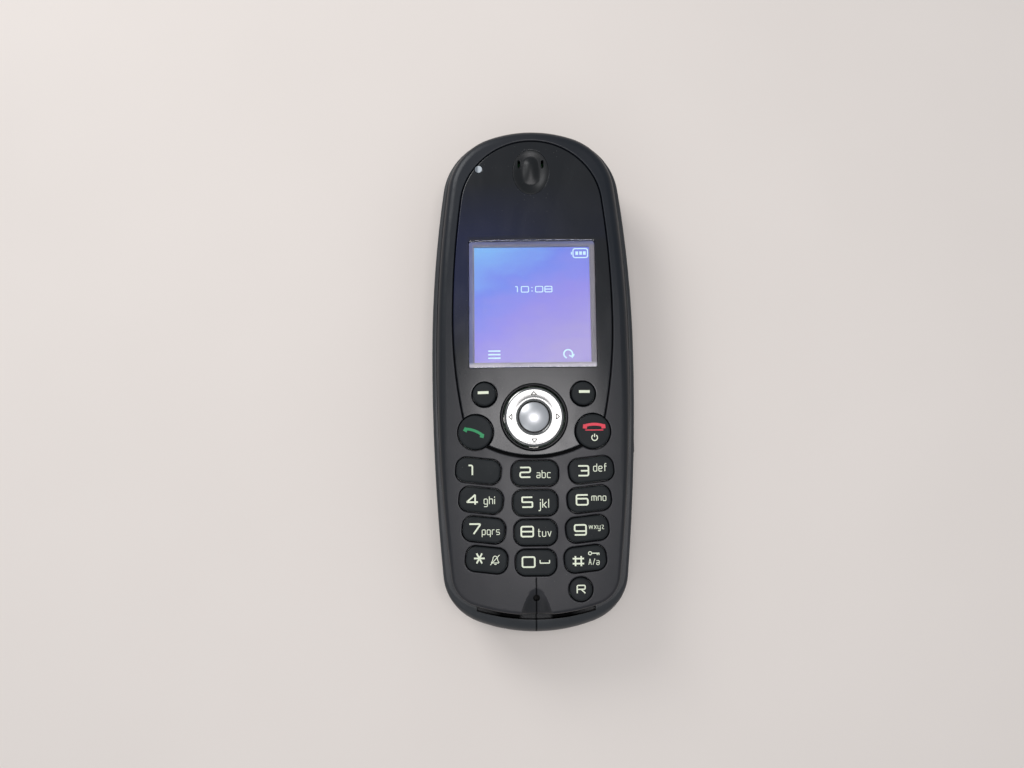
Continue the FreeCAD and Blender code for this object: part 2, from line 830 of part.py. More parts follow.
def battery_cover():
    """The lower part of the back with two tongues beside the cells that tuck under the bulkhead."""
    skin = common("cover_skin", doc.getObject("back_wall"), cover_zone("cover_solid", "cover_gap"))
    tongues = []
    for name, sign in (("left", "-"), ("right", "")):
        start = f"{sign}tongue_column - tongue_width / 2"
        tongues.append(box(f"cover_tongue_{name}", start, "cover_edge - tongue_root",
                           "rear_wall + cover_gap", "tongue_width", "tongue_root + tongue_reach",
                           "tongue_thickness"))
        tongues.append(box(f"cover_tongue_root_{name}", start, "cover_edge - tongue_root", "rear_wall / 2",
                           "tongue_width", "tongue_root - 2 * cover_gap", "tongue_thickness"))
    grips = [middle_box(f"cover_grip_{number}", "0", f"grip_place + {number} * grip_pitch", "-grip_depth",
                        "grip_length", "grip_width", "2 * grip_depth") for number in range(3)]
    whole = fuse("cover_joined", [skin] + tongues)
    return keep(cut("battery_cover", whole, fuse("cover_grips", grips)), "battery_cover")


# Front shell, fascia and display window


def front_openings():
    """All openings of the front for the keys, as one tool."""
    loops = [key_loop(key, 0.0) for key in key_list()]
    return prism("front_key_openings", loops, "flange_level", "front_height")


def scoop():
    """The sloping round gouge in front of the microphone."""
    bar = doc.addObject("Part::Cylinder", "mouth_scoop")
    bind(bar, Radius="scoop_radius", Height="scoop_length")
    slope = math.radians(S.scoop_slope)
    turn = FreeCAD.Rotation(FreeCAD.Vector(1, 0, 0), 90 + S.scoop_slope)
    start = FreeCAD.Vector(0, S.scoop_apex - S.scoop_radius * math.sin(slope),
                           S.front_height + S.scoop_radius * math.cos(slope))
    bar.Placement = FreeCAD.Placement(start, turn)
    return bar


def front_shell():
    block = prism("front_block", [outline("front_")], "parting_height + seam_gap", "front_height")
    crowned = common("front_crowned", block, crown("front_crown", "0"))
    top_edges = round_by_place("front_rounded", crowned,
                               lambda edge: edge.BoundBox.ZMin > S.parting_height + S.front_edge_round,
                               lambda place: (S.front_low_round if place < S.widest_place - S.overcut
                                              else S.front_edge_round))
    core = common("front_hollow",
                  prism("front_core", [outline("front_", S.front_side_wall)], "parting_height - overcut",
                        "front_height"),
                  crown("front_core_crown", "-front_wall"))
    bosses = []
    boss_holes = []
    for place_name, column, row in (("upper", "upper_screw_column", "upper_screw_row"),
                                    ("lower", "lower_screw_column", "lower_screw_row")):
        for side_name, sign in (("left", "-"), ("right", "")):
            name = f"{place_name}_{side_name}"
            bosses.append(rod(f"front_boss_{name}", f"{sign}{column}", row, "parting_height + seam_gap",
                              "front_boss", "front_height - front_wall - parting_height"))
            boss_holes.append(rod(f"front_boss_hole_{name}", f"{sign}{column}", row, "parting_height",
                                  "screw_shank + screw_hole_gap / 2",
                                  "screw_tip + screw_hole_gap - parting_height"))
    shell = fuse("front_with_bosses", [cut("front_wall_only", top_edges, core)] + bosses)
    recess = cut("fascia_recess_space",
                 prism("fascia_recess_block", [outline("fascia_")], "front_height - front_rise / 2",
                       "front_rise"),
                 crown("fascia_recess_floor", "-fascia_recess - fascia_thickness - fascia_bed"))
    cuts = [recess, front_openings(), scoop()]
    cuts += boss_holes
    cuts.append(rod("nav_opening_space", "0", "nav_row", "flange_level", "nav_opening", "front_height"))
    cuts.append(prism("window_opening",
                      [round_box(0.0, S.window_place, S.window_width, S.window_length, S.window_corner)],
                      "frame_step - 2 * overcut", "front_height"))
    cuts.append(rod("ear_sound_opening", "0", "ear_place", "flange_level", "ear_sound_hole", "front_height"))
    cuts.append(rod("light_opening", "light_column", "light_row", "flange_level", "light_radius + light_gap",
                    "front_height - flange_level - fascia_recess"))
    cuts.append(rod("mic_opening", "0", "mic_row", "flange_level", "mic_hole", "front_height"))
    return keep(cut("front_shell", shell, fuse("front_cuts", cuts)), "front_shell")


def crowned_plate(name, loops, top, thickness):
    """A plate of even thickness that follows the crown, its top sunk by top."""
    block = prism(f"{name}_block", loops, "front_height - front_rise / 2", "front_rise")
    upper = common(f"{name}_upper", block, crown(f"{name}_top", f"-({top})"))
    return cut(f"{name}_plate", upper, crown(f"{name}_bottom", f"-({top}) - ({thickness})"))


def fascia():
    plate = crowned_plate("fascia", [outline("fascia_", S.fascia_gap)], "fascia_recess", "fascia_thickness")
    window = prism("fascia_window",
                   [round_box(0.0, S.window_place, S.window_width, S.window_length, S.window_corner)],
                   "frame_step", "front_height")
    ear = ellipse_prism("fascia_ear_opening", S.ear_gap)
    light = rod("fascia_light_opening", "light_column", "light_row", "flange_level",
                "light_radius + light_gap", "front_height")
    nav = rod("fascia_nav_opening", "0", "nav_row", "flange_level", "bezel_radius + window_gap",
              "front_height")
    keys = prism("fascia_key_openings",
                 [key_loop(key, 0.0) for key in key_list() if key["y"] > S.nav_row - S.nav_radius
                  and "radius" in key],
                 "flange_level", "front_height")
    return keep(cut("fascia", plate, fuse("fascia_cuts", [window, ear, light, nav, keys])), "fascia")


def display_window():
    loop = round_box(0.0, S.window_place, S.window_width - 2 * S.window_gap,
                     S.window_length - 2 * S.window_gap, S.window_corner)
    return keep(crowned_plate("window", [loop], "fascia_recess", "fascia_thickness"), "display_window")


def ellipse_prism(name, growth):
    """An upright oval prism round the earpiece, larger all round by growth."""
    centre = FreeCAD.Vector(0, S.ear_place, 0)
    along = FreeCAD.Vector(0, S.ear_place + S.ear_half_length + growth, 0)
    across = FreeCAD.Vector(S.ear_half_width + growth, S.ear_place, 0)
    return prism(name, [[Part.Ellipse(along, across, centre)]], "frame_step", "front_height")


def earpiece_insert():
    """An oval dish with a smooth nub in it and a sound slot on each side of the nub."""
    dish = cut("ear_dish_plate",
               common("ear_dish_upper", ellipse_prism("ear_block", 0.0), crown("ear_top", "-ear_dish")),
               crown("ear_bottom", "-fascia_recess - fascia_thickness"))
    nub = doc.addObject("Part::Ellipsoid", "ear_nub")
    bind(nub, Radius1="nub_rise", Radius2="nub_half_width", Radius3="nub_half_length")
    place(nub, "0", "ear_place - nub_shift", "front_height - ear_dish - nub_sink")
    floor = box("ear_nub_floor", "-half_width", "0", "0", "2 * half_width", "2 * top_end",
                "front_height - fascia_recess - fascia_thickness")
    slots = [round_box(side * S.ear_slot_place, S.ear_place + S.ear_slot_shift, S.ear_slot_width,
                       S.ear_slot_length, S.ear_slot_width * SLOT_END) for side in (-1, 1)]
    body = fuse("ear_joined", [dish, cut("ear_nub_trimmed", nub, floor)])
    return keep(cut("earpiece_insert", body, prism("ear_slots", slots, "frame_step", "front_height")),
                "earpiece_insert")


def status_light():
    """A light guide from the board, cut to the fascia's edge."""
    guide = rod("light_guide", "light_column", "light_row", "board_top + dome_height", "light_radius",
                "front_height")
    inside = prism("light_bounds", [outline("fascia_", S.fascia_gap)], "board_top", "front_height")
    trimmed = common("light_trimmed", guide, inside)
    return keep(common("status_light", trimmed, crown("light_top", "-fascia_recess")), "status_light")


# Keys


def key(entry):
    """A cap that follows the crown, a flange behind the front and a stem over its dome."""
    node = entry["node"]
    body = new_body(f"{node}_body")
    flange_top = "flange_level + flange_thickness"
    pad(body, f"{node}_stem", [circle(entry["x"], entry["y"], S.stem_radius)], "stem_level",
        "flange_level - stem_level + flange_thickness / 2")
    pad(body, f"{node}_flange", [key_loop(entry, S.flange_lip)], "flange_level", "flange_thickness")
    pad(body, f"{node}_cap", [key_loop(entry, -S.key_gap)], flange_top, "front_height - flange_level")
    crowned = common(f"{node}_crowned", body, crown(f"{node}_crown", "key_proud"))
    cap_side = S.front_height - S.front_wall
    rounded = round_edges(node, crowned, S.key_edge_round, lambda edge: edge.BoundBox.ZMin > cap_side)
    return keep(rounded, node)


def nav_bezel():
    low = S.front_height - S.fascia_recess - S.fascia_thickness - S.fascia_bed + S.bezel_lift
    high = S.front_height + S.bezel_proud
    body, ring = turned_body("nav_bezel_body", [(S.bezel_bore, low), (S.bezel_radius, low),
                                                (S.bezel_radius, high), (S.bezel_bore, high)], "nav_row")
    soften(body, ring, "nav_bezel_rounding", "bezel_round", lies_at(high))
    return keep(body, "nav_bezel")


def nav_ring():
    """A dished disc with a neck, a flange under the front and four plungers."""
    flange_top = S.nav_flange_level + S.flange_thickness
    neck_top = S.front_height - S.fascia_recess - S.fascia_thickness
    body, _ = turned_body("nav_disc", [
        (S.nav_bore, S.nav_flange_level), (S.nav_flange_radius, S.nav_flange_level),
        (S.nav_flange_radius, flange_top), (S.nav_neck, flange_top), (S.nav_neck, neck_top),
        (S.nav_radius, neck_top), (S.nav_radius, S.nav_top - S.nav_dip),
        (S.nav_radius - 2 * S.nav_dip, S.nav_top), (S.nav_bore + 2 * S.nav_dip, S.nav_top),
        (S.nav_bore, S.nav_top - S.nav_dip)], "nav_row")
    loops = [circle(x, y, S.nav_plunger_radius) for x, y in plunger_places()]
    plungers = prism("nav_plungers", loops, "stem_level",
                     "nav_flange_level - stem_level + flange_thickness / 2")
    return keep(fuse("nav_ring", [body, plungers]), "nav_ring")


def nav_pivot():
    top = S.pivot_level + S.pivot_thickness
    body, _ = turned_body("nav_pivot_body", [(S.pivot_inner, S.pivot_level), (S.pivot_outer, S.pivot_level),
                                             (S.pivot_outer, top), (S.pivot_inner, top)], "nav_row")
    return keep(body, "nav_pivot")


def nav_centre_key():
    """A round key with a low dome, inside the ring's bore."""
    drum = rod("centre_key_drum", "0", "nav_row", "centre_key_level", "centre_key_radius",
               "centre_key_edge - centre_key_level")
    stem = rod("centre_key_stem", "0", "nav_row", "stem_level", "stem_radius",
               "centre_key_level - stem_level + wall_sink")
    ball = doc.addObject("Part::Sphere", "centre_key_dome_ball")
    bind(ball, Radius="centre_key_ball")
    place(ball, "0", "nav_row", "centre_key_edge + centre_key_dome - centre_key_ball")
    column = rod("centre_key_column", "0", "nav_row", "centre_key_edge - wall_sink", "centre_key_radius",
                 "centre_key_dome + overcut")
    dome = common("centre_key_dome_cap", ball, column)
    return keep(fuse("nav_centre_key", [drum, stem, dome]), "nav_centre_key")


# Circuit board and what it carries


def main_board():
    plate = prism("board_plate", [outline("front_", S.front_side_wall + S.board_gap)],
                  "board_top - board_thickness", "board_thickness")
    upper, lower = screw_places()
    holes = prism("board_holes", [circle(x, y, S.front_boss + S.boss_hole_gap) for x, y in upper + lower],
                  "board_top - 2 * board_thickness", "3 * board_thickness")
    return keep(cut("main_board", plate, holes), "main_board")


def key_domes():
    return keep(prism("key_domes_body", [circle(x, y, S.dome_radius) for x, y in dome_places()],
                      "board_top", "dome_height"), "key_domes")


def keypad_mat():
    """The rubber sheet under the keys, open over every dome, light, boss and the microphone."""
    sheet_body = prism("mat_sheet", [outline("front_", S.mat_inset)], "board_top", "mat_thickness")
    zone = box("mat_zone", "-2 * half_width", "2 * bottom_end", "0", "4 * half_width",
               "mat_top_edge - 2 * bottom_end", "front_height")
    _, lower = screw_places()
    loops = [circle(x, y, S.mat_hole) for x, y in dome_places() if y < S.nav_row - S.bezel_radius
             or abs(x) > S.bezel_radius]
    loops += [circle(x, y, S.front_boss + S.boss_hole_gap) for x, y in lower]
    loops += [circle(x, y, S.key_light_width) for x, y in key_light_places()]
    loops.append(circle(0.0, S.mic_row, S.seal_radius + S.boss_hole_gap))
    loops.append(circle(0.0, S.nav_row, S.nav_flange_radius + S.boss_hole_gap))
    holes = prism("mat_holes", loops, "board_top - overcut", "mat_thickness + 2 * overcut")
    return keep(cut("keypad_mat", common("mat_trimmed", sheet_body, zone), holes), "keypad_mat")


def key_lights():
    loops = [round_box(x, y, S.key_light_width, S.key_light_width / 2, S.key_light_width / 10)
             for x, y in key_light_places()]
    return keep(prism("key_lights_body", loops, "board_top", "key_light_height"), "key_lights")


def display_frame():
    base = middle_box("frame_base", "0", "window_place", "board_top", "frame_width", "frame_length",
                      "frame_step - board_top")
    lip = prism("frame_lip", [round_box(0.0, S.window_place, S.window_width - 2 * S.frame_lip_gap,
                                        S.window_length - 2 * S.frame_lip_gap, S.window_corner)],
                "board_top", "frame_top - board_top")
    bed = middle_box("frame_bed", "0", "window_place", "board_top - overcut",
                     "panel_width + 2 * panel_gap", "panel_length + 2 * panel_gap",
                     "overcut + panel_lift + panel_thickness + panel_gap / 2")
    view = middle_box("frame_view", "0", "window_place", "board_top - overcut", "view_width", "view_length",
                      "front_height")
    return keep(cut("display_frame", fuse("frame_joined", [base, lip]), fuse("frame_cuts", [bed, view])),
                "display_frame")


def display_panel():
    return keep(middle_box("display_panel", "0", "window_place", "board_top + panel_lift", "panel_width",
                           "panel_length", "panel_thickness"), "display_panel")


def display_flex():
    """The ribbon from the panel's upper end down on to the board."""
    flat = box("flex_flat", "-flex_width / 2", "window_place + frame_length / 2 + contact_play", "board_top",
               "flex_width", "flex_run - contact_play", "flex_thickness")
    upright = box("flex_upright", "-flex_width / 2", "window_place + frame_length / 2 + contact_play",
                  "board_top", "flex_width", "flex_thickness", "frame_step - board_top")
    return keep(fuse("display_flex", [flat, upright]), "display_flex")


def earpiece_speaker():
    """A flat receiver capsule with a raised sound rim."""
    can = rod("ear_speaker_can", "0", "ear_speaker_place", "board_top", "ear_speaker_radius",
              "ear_speaker_height - ear_rim_height")
    rim = cut("ear_speaker_rim",
              rod("ear_speaker_rim_outer", "0", "ear_speaker_place", "board_top",
                  "ear_speaker_radius - ear_rim_inset", "ear_speaker_height"),
              rod("ear_speaker_rim_inner", "0", "ear_speaker_place", "board_top - overcut",
                  "ear_speaker_radius - ear_rim_inset - ear_rim_width", "ear_speaker_height + 2 * overcut"))
    return keep(fuse("earpiece_speaker", [can, rim]), "earpiece_speaker")


def microphone():
    return keep(rod("microphone", "0", "mic_row", "board_top", "mic_radius", "mic_height"), "microphone")


def microphone_seal():
    outer = rod("seal_outer", "0", "mic_row", "board_top", "seal_radius",
                "front_height - front_wall - seal_gap - board_top")
    inner = rod("seal_inner", "0", "mic_row", "board_top - overcut", "mic_radius + seal_gap", "front_height")
    return keep(cut("microphone_seal", outer, inner), "microphone_seal")


def ringer_speaker():
    """A round loudspeaker: a wide frame towards the back and a smaller magnet over it."""
    basket = rod("ringer_basket", "0", "ringer_place", "rear_wall + ringer_gap", "ringer_radius",
                 "ringer_height / 2")
    magnet = rod("ringer_magnet", "0", "ringer_place", "rear_wall + ringer_gap", "ringer_magnet",
                 "ringer_height")
    return keep(fuse("ringer_speaker", [basket, magnet]), "ringer_speaker")


def shield_can():
    """A folded metal lid under the board, over the radio."""
    outer = middle_box("shield_outer", "0", "shield_place", "board_top - board_thickness - shield_height",
                       "shield_width", "shield_length", "shield_height")
    inner = middle_box("shield_inner", "0", "shield_place",
                       "board_top - board_thickness - shield_height + shield_sheet",
                       "shield_width - 2 * shield_sheet", "shield_length - 2 * shield_sheet",
                       "shield_height")
    return keep(cut("shield_can", outer, inner), "shield_can")


def board_chips():
    chips = [middle_box(f"chip_{number}", "0", f"chip_first_row + {number} * chip_pitch",
                        "board_top - board_thickness - chip_height", "chip_side", "chip_side", "chip_height")
             for number in range(3)]
    return keep(group("board_chips", chips), "board_chips")


def antenna():
    """A strip held over the board's top end by a leg at each end."""
    strip = middle_box("antenna_strip", "0", "antenna_row", "board_top + antenna_lift", "antenna_length",
                       "antenna_width", "antenna_sheet")
    legs = [box(f"antenna_leg_{name}", start, "antenna_row - antenna_width / 2", "board_top",
                "antenna_sheet", "antenna_width", "antenna_lift + antenna_sheet")
            for name, start in (("left", "-antenna_length / 2"),
                                ("right", "antenna_length / 2 - antenna_sheet"))]
    return keep(fuse("antenna", [strip] + legs), "antenna")


# Fasteners, cells, contacts, side key


def screw(name, column, row, head_bottom):
    """A pan head screw with a cross recess in the head, pointing up."""
    head = rod(f"{name}_head", column, row, head_bottom, "screw_head", "screw_head_height")
    shank = rod(f"{name}_shank", column, row, f"{head_bottom} + screw_head_height / 2", "screw_shank",
                f"screw_tip - ({head_bottom}) - screw_head_height / 2")
    across = [middle_box(f"{name}_slot_{turn}", column, row, f"{head_bottom} - overcut", width, length,
                         "overcut + screw_head_height / 2")
              for turn, width, length in (("x", "cross_length", "cross_width"),
                                          ("y", "cross_width", "cross_length"))]
    return cut(name, fuse(f"{name}_joined", [head, shank]), fuse(f"{name}_slots", across))


def case_screws():
    screws = []
    for side, sign in (("left", "-"), ("right", "")):
        screws.append(screw(f"upper_screw_{side}", f"{sign}upper_screw_column", "upper_screw_row",
                            "screw_head_sink"))
        screws.append(screw(f"lower_screw_{side}", f"{sign}lower_screw_column", "lower_screw_row",
                            "deck_level - screw_head_height"))
    return keep(group("case_screws", screws), "case_screws")


def battery_cell(node, sign, start, nub_first):
    """A round cell along Y with a small positive nub at one end."""
    column = f"{sign}cell_column"
    can_start = f"{start} + cell_nub" if nub_first else start
    nub_start = start if nub_first else f"{start} + cell_length / 2"
    can = rod_along_y(f"{node}_can", column, can_start, "cell_level", "cell_radius",
                      "cell_length - cell_nub")
    nub = rod_along_y(f"{node}_nub", column, nub_start, "cell_level", "cell_nub_radius",
                      "cell_length / 2")
    return keep(fuse(node, [can, nub]), node)


def battery_cells():
    battery_cell("battery_cell_left", "-", "bay_start + contact_sheet + spring_reach + contact_play", False)
    battery_cell("battery_cell_right", "", "bay_start + contact_sheet + contact_play", True)


def contact_plate(name, sign, at_low_end):
    """A flat strip on the bay's end wall, opposite a cell's nub."""
    start = "bay_start" if at_low_end else "bay_end - contact_sheet"
    return box(name, f"{sign}cell_column - contact_width / 2", start, "cell_level - contact_height / 2",
               "contact_width", "contact_sheet", "contact_height")


def contact_spring(name, side, at_low_end):
    """A bowed leaf on a flat strip: its bow reaches the cell's flat end."""
    body = new_body(name)
    direction = 1 if at_low_end else -1
    wall = S.bay_start if at_low_end else S.bay_end
    face = wall + direction * S.contact_sheet / 2
    half = S.contact_height / 2
    reach = S.spring_reach + S.contact_sheet / 2
    outer = (half ** 2 + reach ** 2) / (2 * reach)
    inner = outer - S.contact_sheet
    centre = FreeCAD.Vector(face + direction * (reach - outer), S.cell_level, 0)
    swing = math.asin(half / outer)
    if reach > outer:
        swing = math.pi - swing

    def point(radius, angle):
        return centre + FreeCAD.Vector(direction * radius * math.cos(angle), radius * math.sin(angle), 0)

    loops = [[
        Part.Arc(point(outer, -swing), point(outer, 0), point(outer, swing)),
        Part.LineSegment(point(outer, swing), point(inner, swing)),
        Part.Arc(point(inner, swing), point(inner, 0), point(inner, -swing)),
        Part.LineSegment(point(inner, -swing), point(outer, -swing)),
    ]]
    bow = pad(body, f"{name}_bow", loops, f"{side}cell_column", "spring_width", "YZ_Plane")
    bow.Midplane = True
    strip = contact_plate(f"{name}_strip", side, at_low_end)
    return fuse(f"{name}_joined", [body, strip])


def battery_contacts():
    springs = [contact_spring("spring_left", "-", True), contact_spring("spring_right", "", False)]
    keep(group("battery_springs", springs), "battery_springs")
    plates = [contact_plate("plate_left", "-", False), contact_plate("plate_right", "", True)]
    keep(group("battery_plates", plates), "battery_plates")


def side_key_window():
    """The opening in the right wall for the side key."""
    loop = round_box(S.side_key_place, S.side_key_level, S.side_key_length, S.side_key_height,
                     S.side_key_corner)
    body = new_body("side_key_opening")
    pad(body, "side_key_opening_pad", [loop], "side_wall - 2 * rear_wall", "4 * rear_wall", "YZ_Plane")
    return body


def side_key():
    """A rocker that turns about its middle: cap, flange inside the wall and two nubs."""
    gap = S.side_key_gap
    body = new_body("side_key_body")
    cap = round_box(S.side_key_place, S.side_key_level, S.side_key_length - 2 * gap,
                    S.side_key_height - 2 * gap, S.side_key_corner - gap / 2)
    flange = round_box(S.side_key_place, S.side_key_level, S.side_key_length + 2 * S.side_flange,
                       S.side_key_height + S.side_flange, S.side_key_corner)
    nubs = [circle(S.side_key_place + side * S.side_nub_place, S.side_key_level, S.side_nub)
            for side in (-1, 1)]
    pad(body, "side_key_nubs", nubs, "side_flange_face - side_flange_thickness - side_nub_reach",
        "side_nub_reach + side_flange_thickness / 2", "YZ_Plane")
    pad(body, "side_key_flange", [flange], "side_flange_face - side_flange_thickness",
        "side_flange_thickness", "YZ_Plane")
    front = pad(body, "side_key_cap", [cap], "side_flange_face",
                "rear_wall + side_flange_gap + side_key_proud", "YZ_Plane")
    reach = S.side_wall + S.side_key_proud
    soften(body, front, "side_key_rounding", "side_key_round",
           lambda edge: abs(edge.BoundBox.XMin - reach) < FLAT)
    return keep(body, "side_key")


def side_switch():
    """The double switch behind the rocker, on a small upright board under the main board."""
    block = box("side_switch_block", "side_switch_face - side_switch_depth",
                "side_key_place - side_switch_length / 2", "side_key_level - side_switch_height / 2",
                "side_switch_depth", "side_switch_length", "side_switch_height")
    board = box("side_switch_board", "side_board_face", "side_key_place - side_switch_length / 2",
                "side_key_level - side_switch_height / 2",
                "side_board", "side_switch_length",
                "board_top - board_thickness - side_key_level + side_switch_height / 2")
    return keep(fuse("side_switch", [block, board]), "side_switch")


def charge_contacts():
    """Two strips: a pad in the end wall, an arm over the cover and a leg up to the board."""
    strips = []
    for name, sign in (("left", "-"), ("right", "")):
        head = box(f"charge_head_{name}", f"{sign}charge_column - charge_width / 2", "charge_end",
                   "charge_level", "charge_width", "charge_depth", "charge_height")
        arm = box(f"charge_arm_{name}", f"{sign}charge_column - charge_strip_width / 2",
                  "charge_end + charge_depth / 2", "charge_level", "charge_strip_width",
                  "charge_leg_row + charge_strip - charge_end - charge_depth / 2", "charge_strip")
        leg = box(f"charge_leg_{name}", f"{sign}charge_column - charge_strip_width / 2", "charge_leg_row",
                  "charge_level", "charge_strip_width", "charge_strip",
                  "board_top - board_thickness - charge_level")
        strips.append(fuse(f"charge_strip_{name}", [head, arm, leg]))
    return keep(group("charge_contacts", strips), "charge_contacts")


rear_shell()
battery_cover()
front_shell()
fascia()
display_window()
earpiece_insert()
status_light()
for key_entry in key_list():
    key(key_entry)
nav_bezel()
nav_ring()
nav_pivot()
nav_centre_key()
main_board()
key_domes()
keypad_mat()
key_lights()
display_frame()
display_panel()
display_flex()
earpiece_speaker()
microphone()
microphone_seal()
ringer_speaker()
shield_can()
board_chips()
antenna()
case_screws()
battery_cells()
battery_contacts()
side_key()
side_switch()
charge_contacts()
doc.recompute()

for thing in doc.Objects:
    if "Invalid" in thing.State or "Error" in thing.State:
        raise RuntimeError(f"{thing.Name} failed: {thing.State}")
for node, thing in parts_to_save.items():
    if thing.Shape.isNull() or not thing.Shape.isValid() or not thing.Shape.Solids:
        raise RuntimeError(f"{node} has no valid solid")

os.makedirs("parts", exist_ok=True)
for node, thing in parts_to_save.items():
    thing.Shape.exportStep(f"parts/{node}.step")
print(len(parts_to_save), "sub-parts written")
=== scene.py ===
"""Looks of a cordless telephone handset that lies on its back on a pale floor.

Lengths are in millimetres in the frame of the solids: +X to the right of the display,
+Y towards the earpiece, +Z out of the display. A mesh is scaled to metres when it is made.
"""

import math

import bpy
import numpy as np
from mathutils import Matrix, Vector
from mathutils.geometry import delaunay_2d_cdt


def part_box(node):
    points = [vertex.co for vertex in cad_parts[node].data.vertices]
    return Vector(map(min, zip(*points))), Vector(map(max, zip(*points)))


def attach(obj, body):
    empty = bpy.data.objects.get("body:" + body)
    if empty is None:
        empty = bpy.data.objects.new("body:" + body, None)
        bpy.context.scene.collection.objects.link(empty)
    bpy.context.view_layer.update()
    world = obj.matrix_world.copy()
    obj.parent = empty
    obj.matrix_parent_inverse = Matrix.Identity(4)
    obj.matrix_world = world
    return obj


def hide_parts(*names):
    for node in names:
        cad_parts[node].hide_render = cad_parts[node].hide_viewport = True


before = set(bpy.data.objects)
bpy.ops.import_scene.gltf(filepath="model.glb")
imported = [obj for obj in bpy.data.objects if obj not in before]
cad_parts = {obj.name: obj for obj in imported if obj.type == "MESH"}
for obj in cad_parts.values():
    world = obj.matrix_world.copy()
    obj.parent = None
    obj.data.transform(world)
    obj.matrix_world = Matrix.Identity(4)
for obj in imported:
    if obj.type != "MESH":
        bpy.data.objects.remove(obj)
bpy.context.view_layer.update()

MM = 0.001

# How finely curves are cut: the gap between an arc and its chords, chord lengths, steps of a turn
CHORD_SAG = 0.003
SMALLEST_ARC = 0.05
LONGEST_CHORD = 1.2
OUTLINE_CHORD = 2.0
STROKE_CHORD = 0.35
LONGEST_MITRE = 2.0
DOUBLED_POINT = 1e-4
OVAL_STEPS = 96
TURN_STEPS = 128
ROUND_STEPS = np.sin(np.radians([90.0, 68.0, 46.0, 24.0, 0.0]))

# Meshes: the angle that stays sharp, how far from an edge its wear reaches, the extra rings just
# inside a rounded edge, the thinnest sheet, the room along a crease, and what counts as nothing
SMOOTH_ANGLE = 40.0
PRINT_SMOOTH_ANGLE = 30.0
PRINT_LIFT = 0.02
EDGE_REACH = 1.2
INNER_RING = 0.12
OPENING_RING = 0.08
THINNEST_SHEET = 0.05
CREASE_ROOM = 0.2
MERGED_POINTS = 1e-5
NO_AREA = 1e-7
TINY = 1e-6

# Front: height in the middle, radius of its crown across X, walls and edge
FRONT_HEIGHT = 24.0
CROWN_RADIUS = 260.0
FRONT_WALL = 2.4
FRONT_SIDE_WALL = 1.3
FRONT_EDGE_ROUND = 2.6
FRONT_LOW_ROUND = 0.8
FRONT_ROUND_PLACES = (-56.0, 6.0)
FRONT_BOTTOM_END = -65.3
FRONT_BOTTOM_ARC = 55.0
GROOVE_WIDTH = 2.4
PARTING_HEIGHT = 17.0
SEAM_GAP = 0.15
OPENING_ROUND = 0.3
GROOVE_ROUND = 0.3
FRONT_RINGS = (0.06, 0.45, 0.95, FRONT_SIDE_WALL, FRONT_SIDE_WALL + 0.06)
FRONT_SMOOTH_ANGLE = 26.0
DECK_GROWTH = 0.2
DECK_DROP = 0.02
DECK_ROUND = 0.05
DECK_SPACING = 2.0

# Fascia and display window, the rounds of their edges, and how finely the plates are cut
FASCIA_RECESS = 0.3
FASCIA_THICKNESS = 1.0
FASCIA_GAP = 0.12
FASCIA_EDGE_ROUND = 0.3
WINDOW_PLACE = 18.95
WINDOW_WIDTH = 35.4
WINDOW_LENGTH = 36.1
WINDOW_CORNER = 0.6
WINDOW_EDGE_ROUND = 0.15
EAR_EDGE_ROUND = 0.15
LIGHT_EDGE_ROUND = 0.2
BEZEL_EDGE_ROUND = 0.2
MIC_EDGE_ROUND = 0.15
PLATE_SPACING = 1.1
WINDOW_SPACING = 2.0
WINDOW_OUTER_ROUND = 0.03

# Keys
KEY_GAP = 0.22
KEY_PROUD = 0.6
KEY_EDGE_ROUND = 0.55
KEY_PILLOW = 0.16
KEY_CORNER = 2.8
KEY_SPACING = 0.5
KEY_LENGTH = 6.9
CENTRE_KEY_EXTRA = 0.2
KEY_TILT = 6.3
ROW_PITCH = 7.85
KEY_ROWS = (("key_1", "key_2", "key_3"), ("key_4", "key_5", "key_6"), ("key_7", "key_8", "key_9"),
            ("key_star", "key_0", "key_hash"))
OUTER_FIRST_ROW = -27.25
OUTER_COLUMN = 15.25
OUTER_COLUMN_STEP = 0.7
OUTER_KEY_WIDTH = 12.4
OUTER_WIDTH_STEP = 0.33
CENTRE_FIRST_ROW = -28.05
CENTRE_KEY_WIDTH = 12.9
CENTRE_WIDTH_STEP = 0.6
FLANGE_LEVEL = 19.7
SOFT_KEY_COLUMN = 13.5
SOFT_KEY_ROW = -6.5
SOFT_KEY_RADIUS = 3.42
CALL_KEY_COLUMN = 16.0
CALL_KEY_ROW = -16.85
CALL_KEY_RADIUS = 4.87
RECALL_KEY_PLACE = (11.8, -58.7)
RECALL_KEY_RADIUS = 3.25

# Navigation ring
NAV_ROW = -12.8
BEZEL_RADIUS = 9.1
BEZEL_BORE = 8.45
BEZEL_TOP = FRONT_HEIGHT + 0.35
BEZEL_CORNER = 0.26
NAV_OPENING = 8.6
NAV_RADIUS = 8.1
NAV_BORE = 4.35
NAV_TOP = 24.5
NAV_DISH = 0.06
NAV_FACE = (NAV_BORE + 0.75, NAV_RADIUS - 0.55)
NAV_BEVEL = 0.3
NAV_BORE_FALL = 0.35
NAV_LIP_FALL = 0.1
NAV_INNER_CORNER = 0.2
NAV_OUTER_CORNER = 0.25
MARK_CORNERS = [(6.9, 0.0), (6.0, 0.78), (6.0, -0.78)]
MARK_STROKE = 0.29
MARK_CORNER_ROUND = 0.1
MARK_LIFT = 0.015
CENTRE_KEY_RADIUS = 4.05
CENTRE_KEY_EDGE = 24.2
CENTRE_KEY_TOP = 25.1
CENTRE_KEY_SHOULDER = (0.25, 0.15)
CENTRE_KEY_CORNER = 0.12
CENTRE_KEY_SKIRT = 1.0

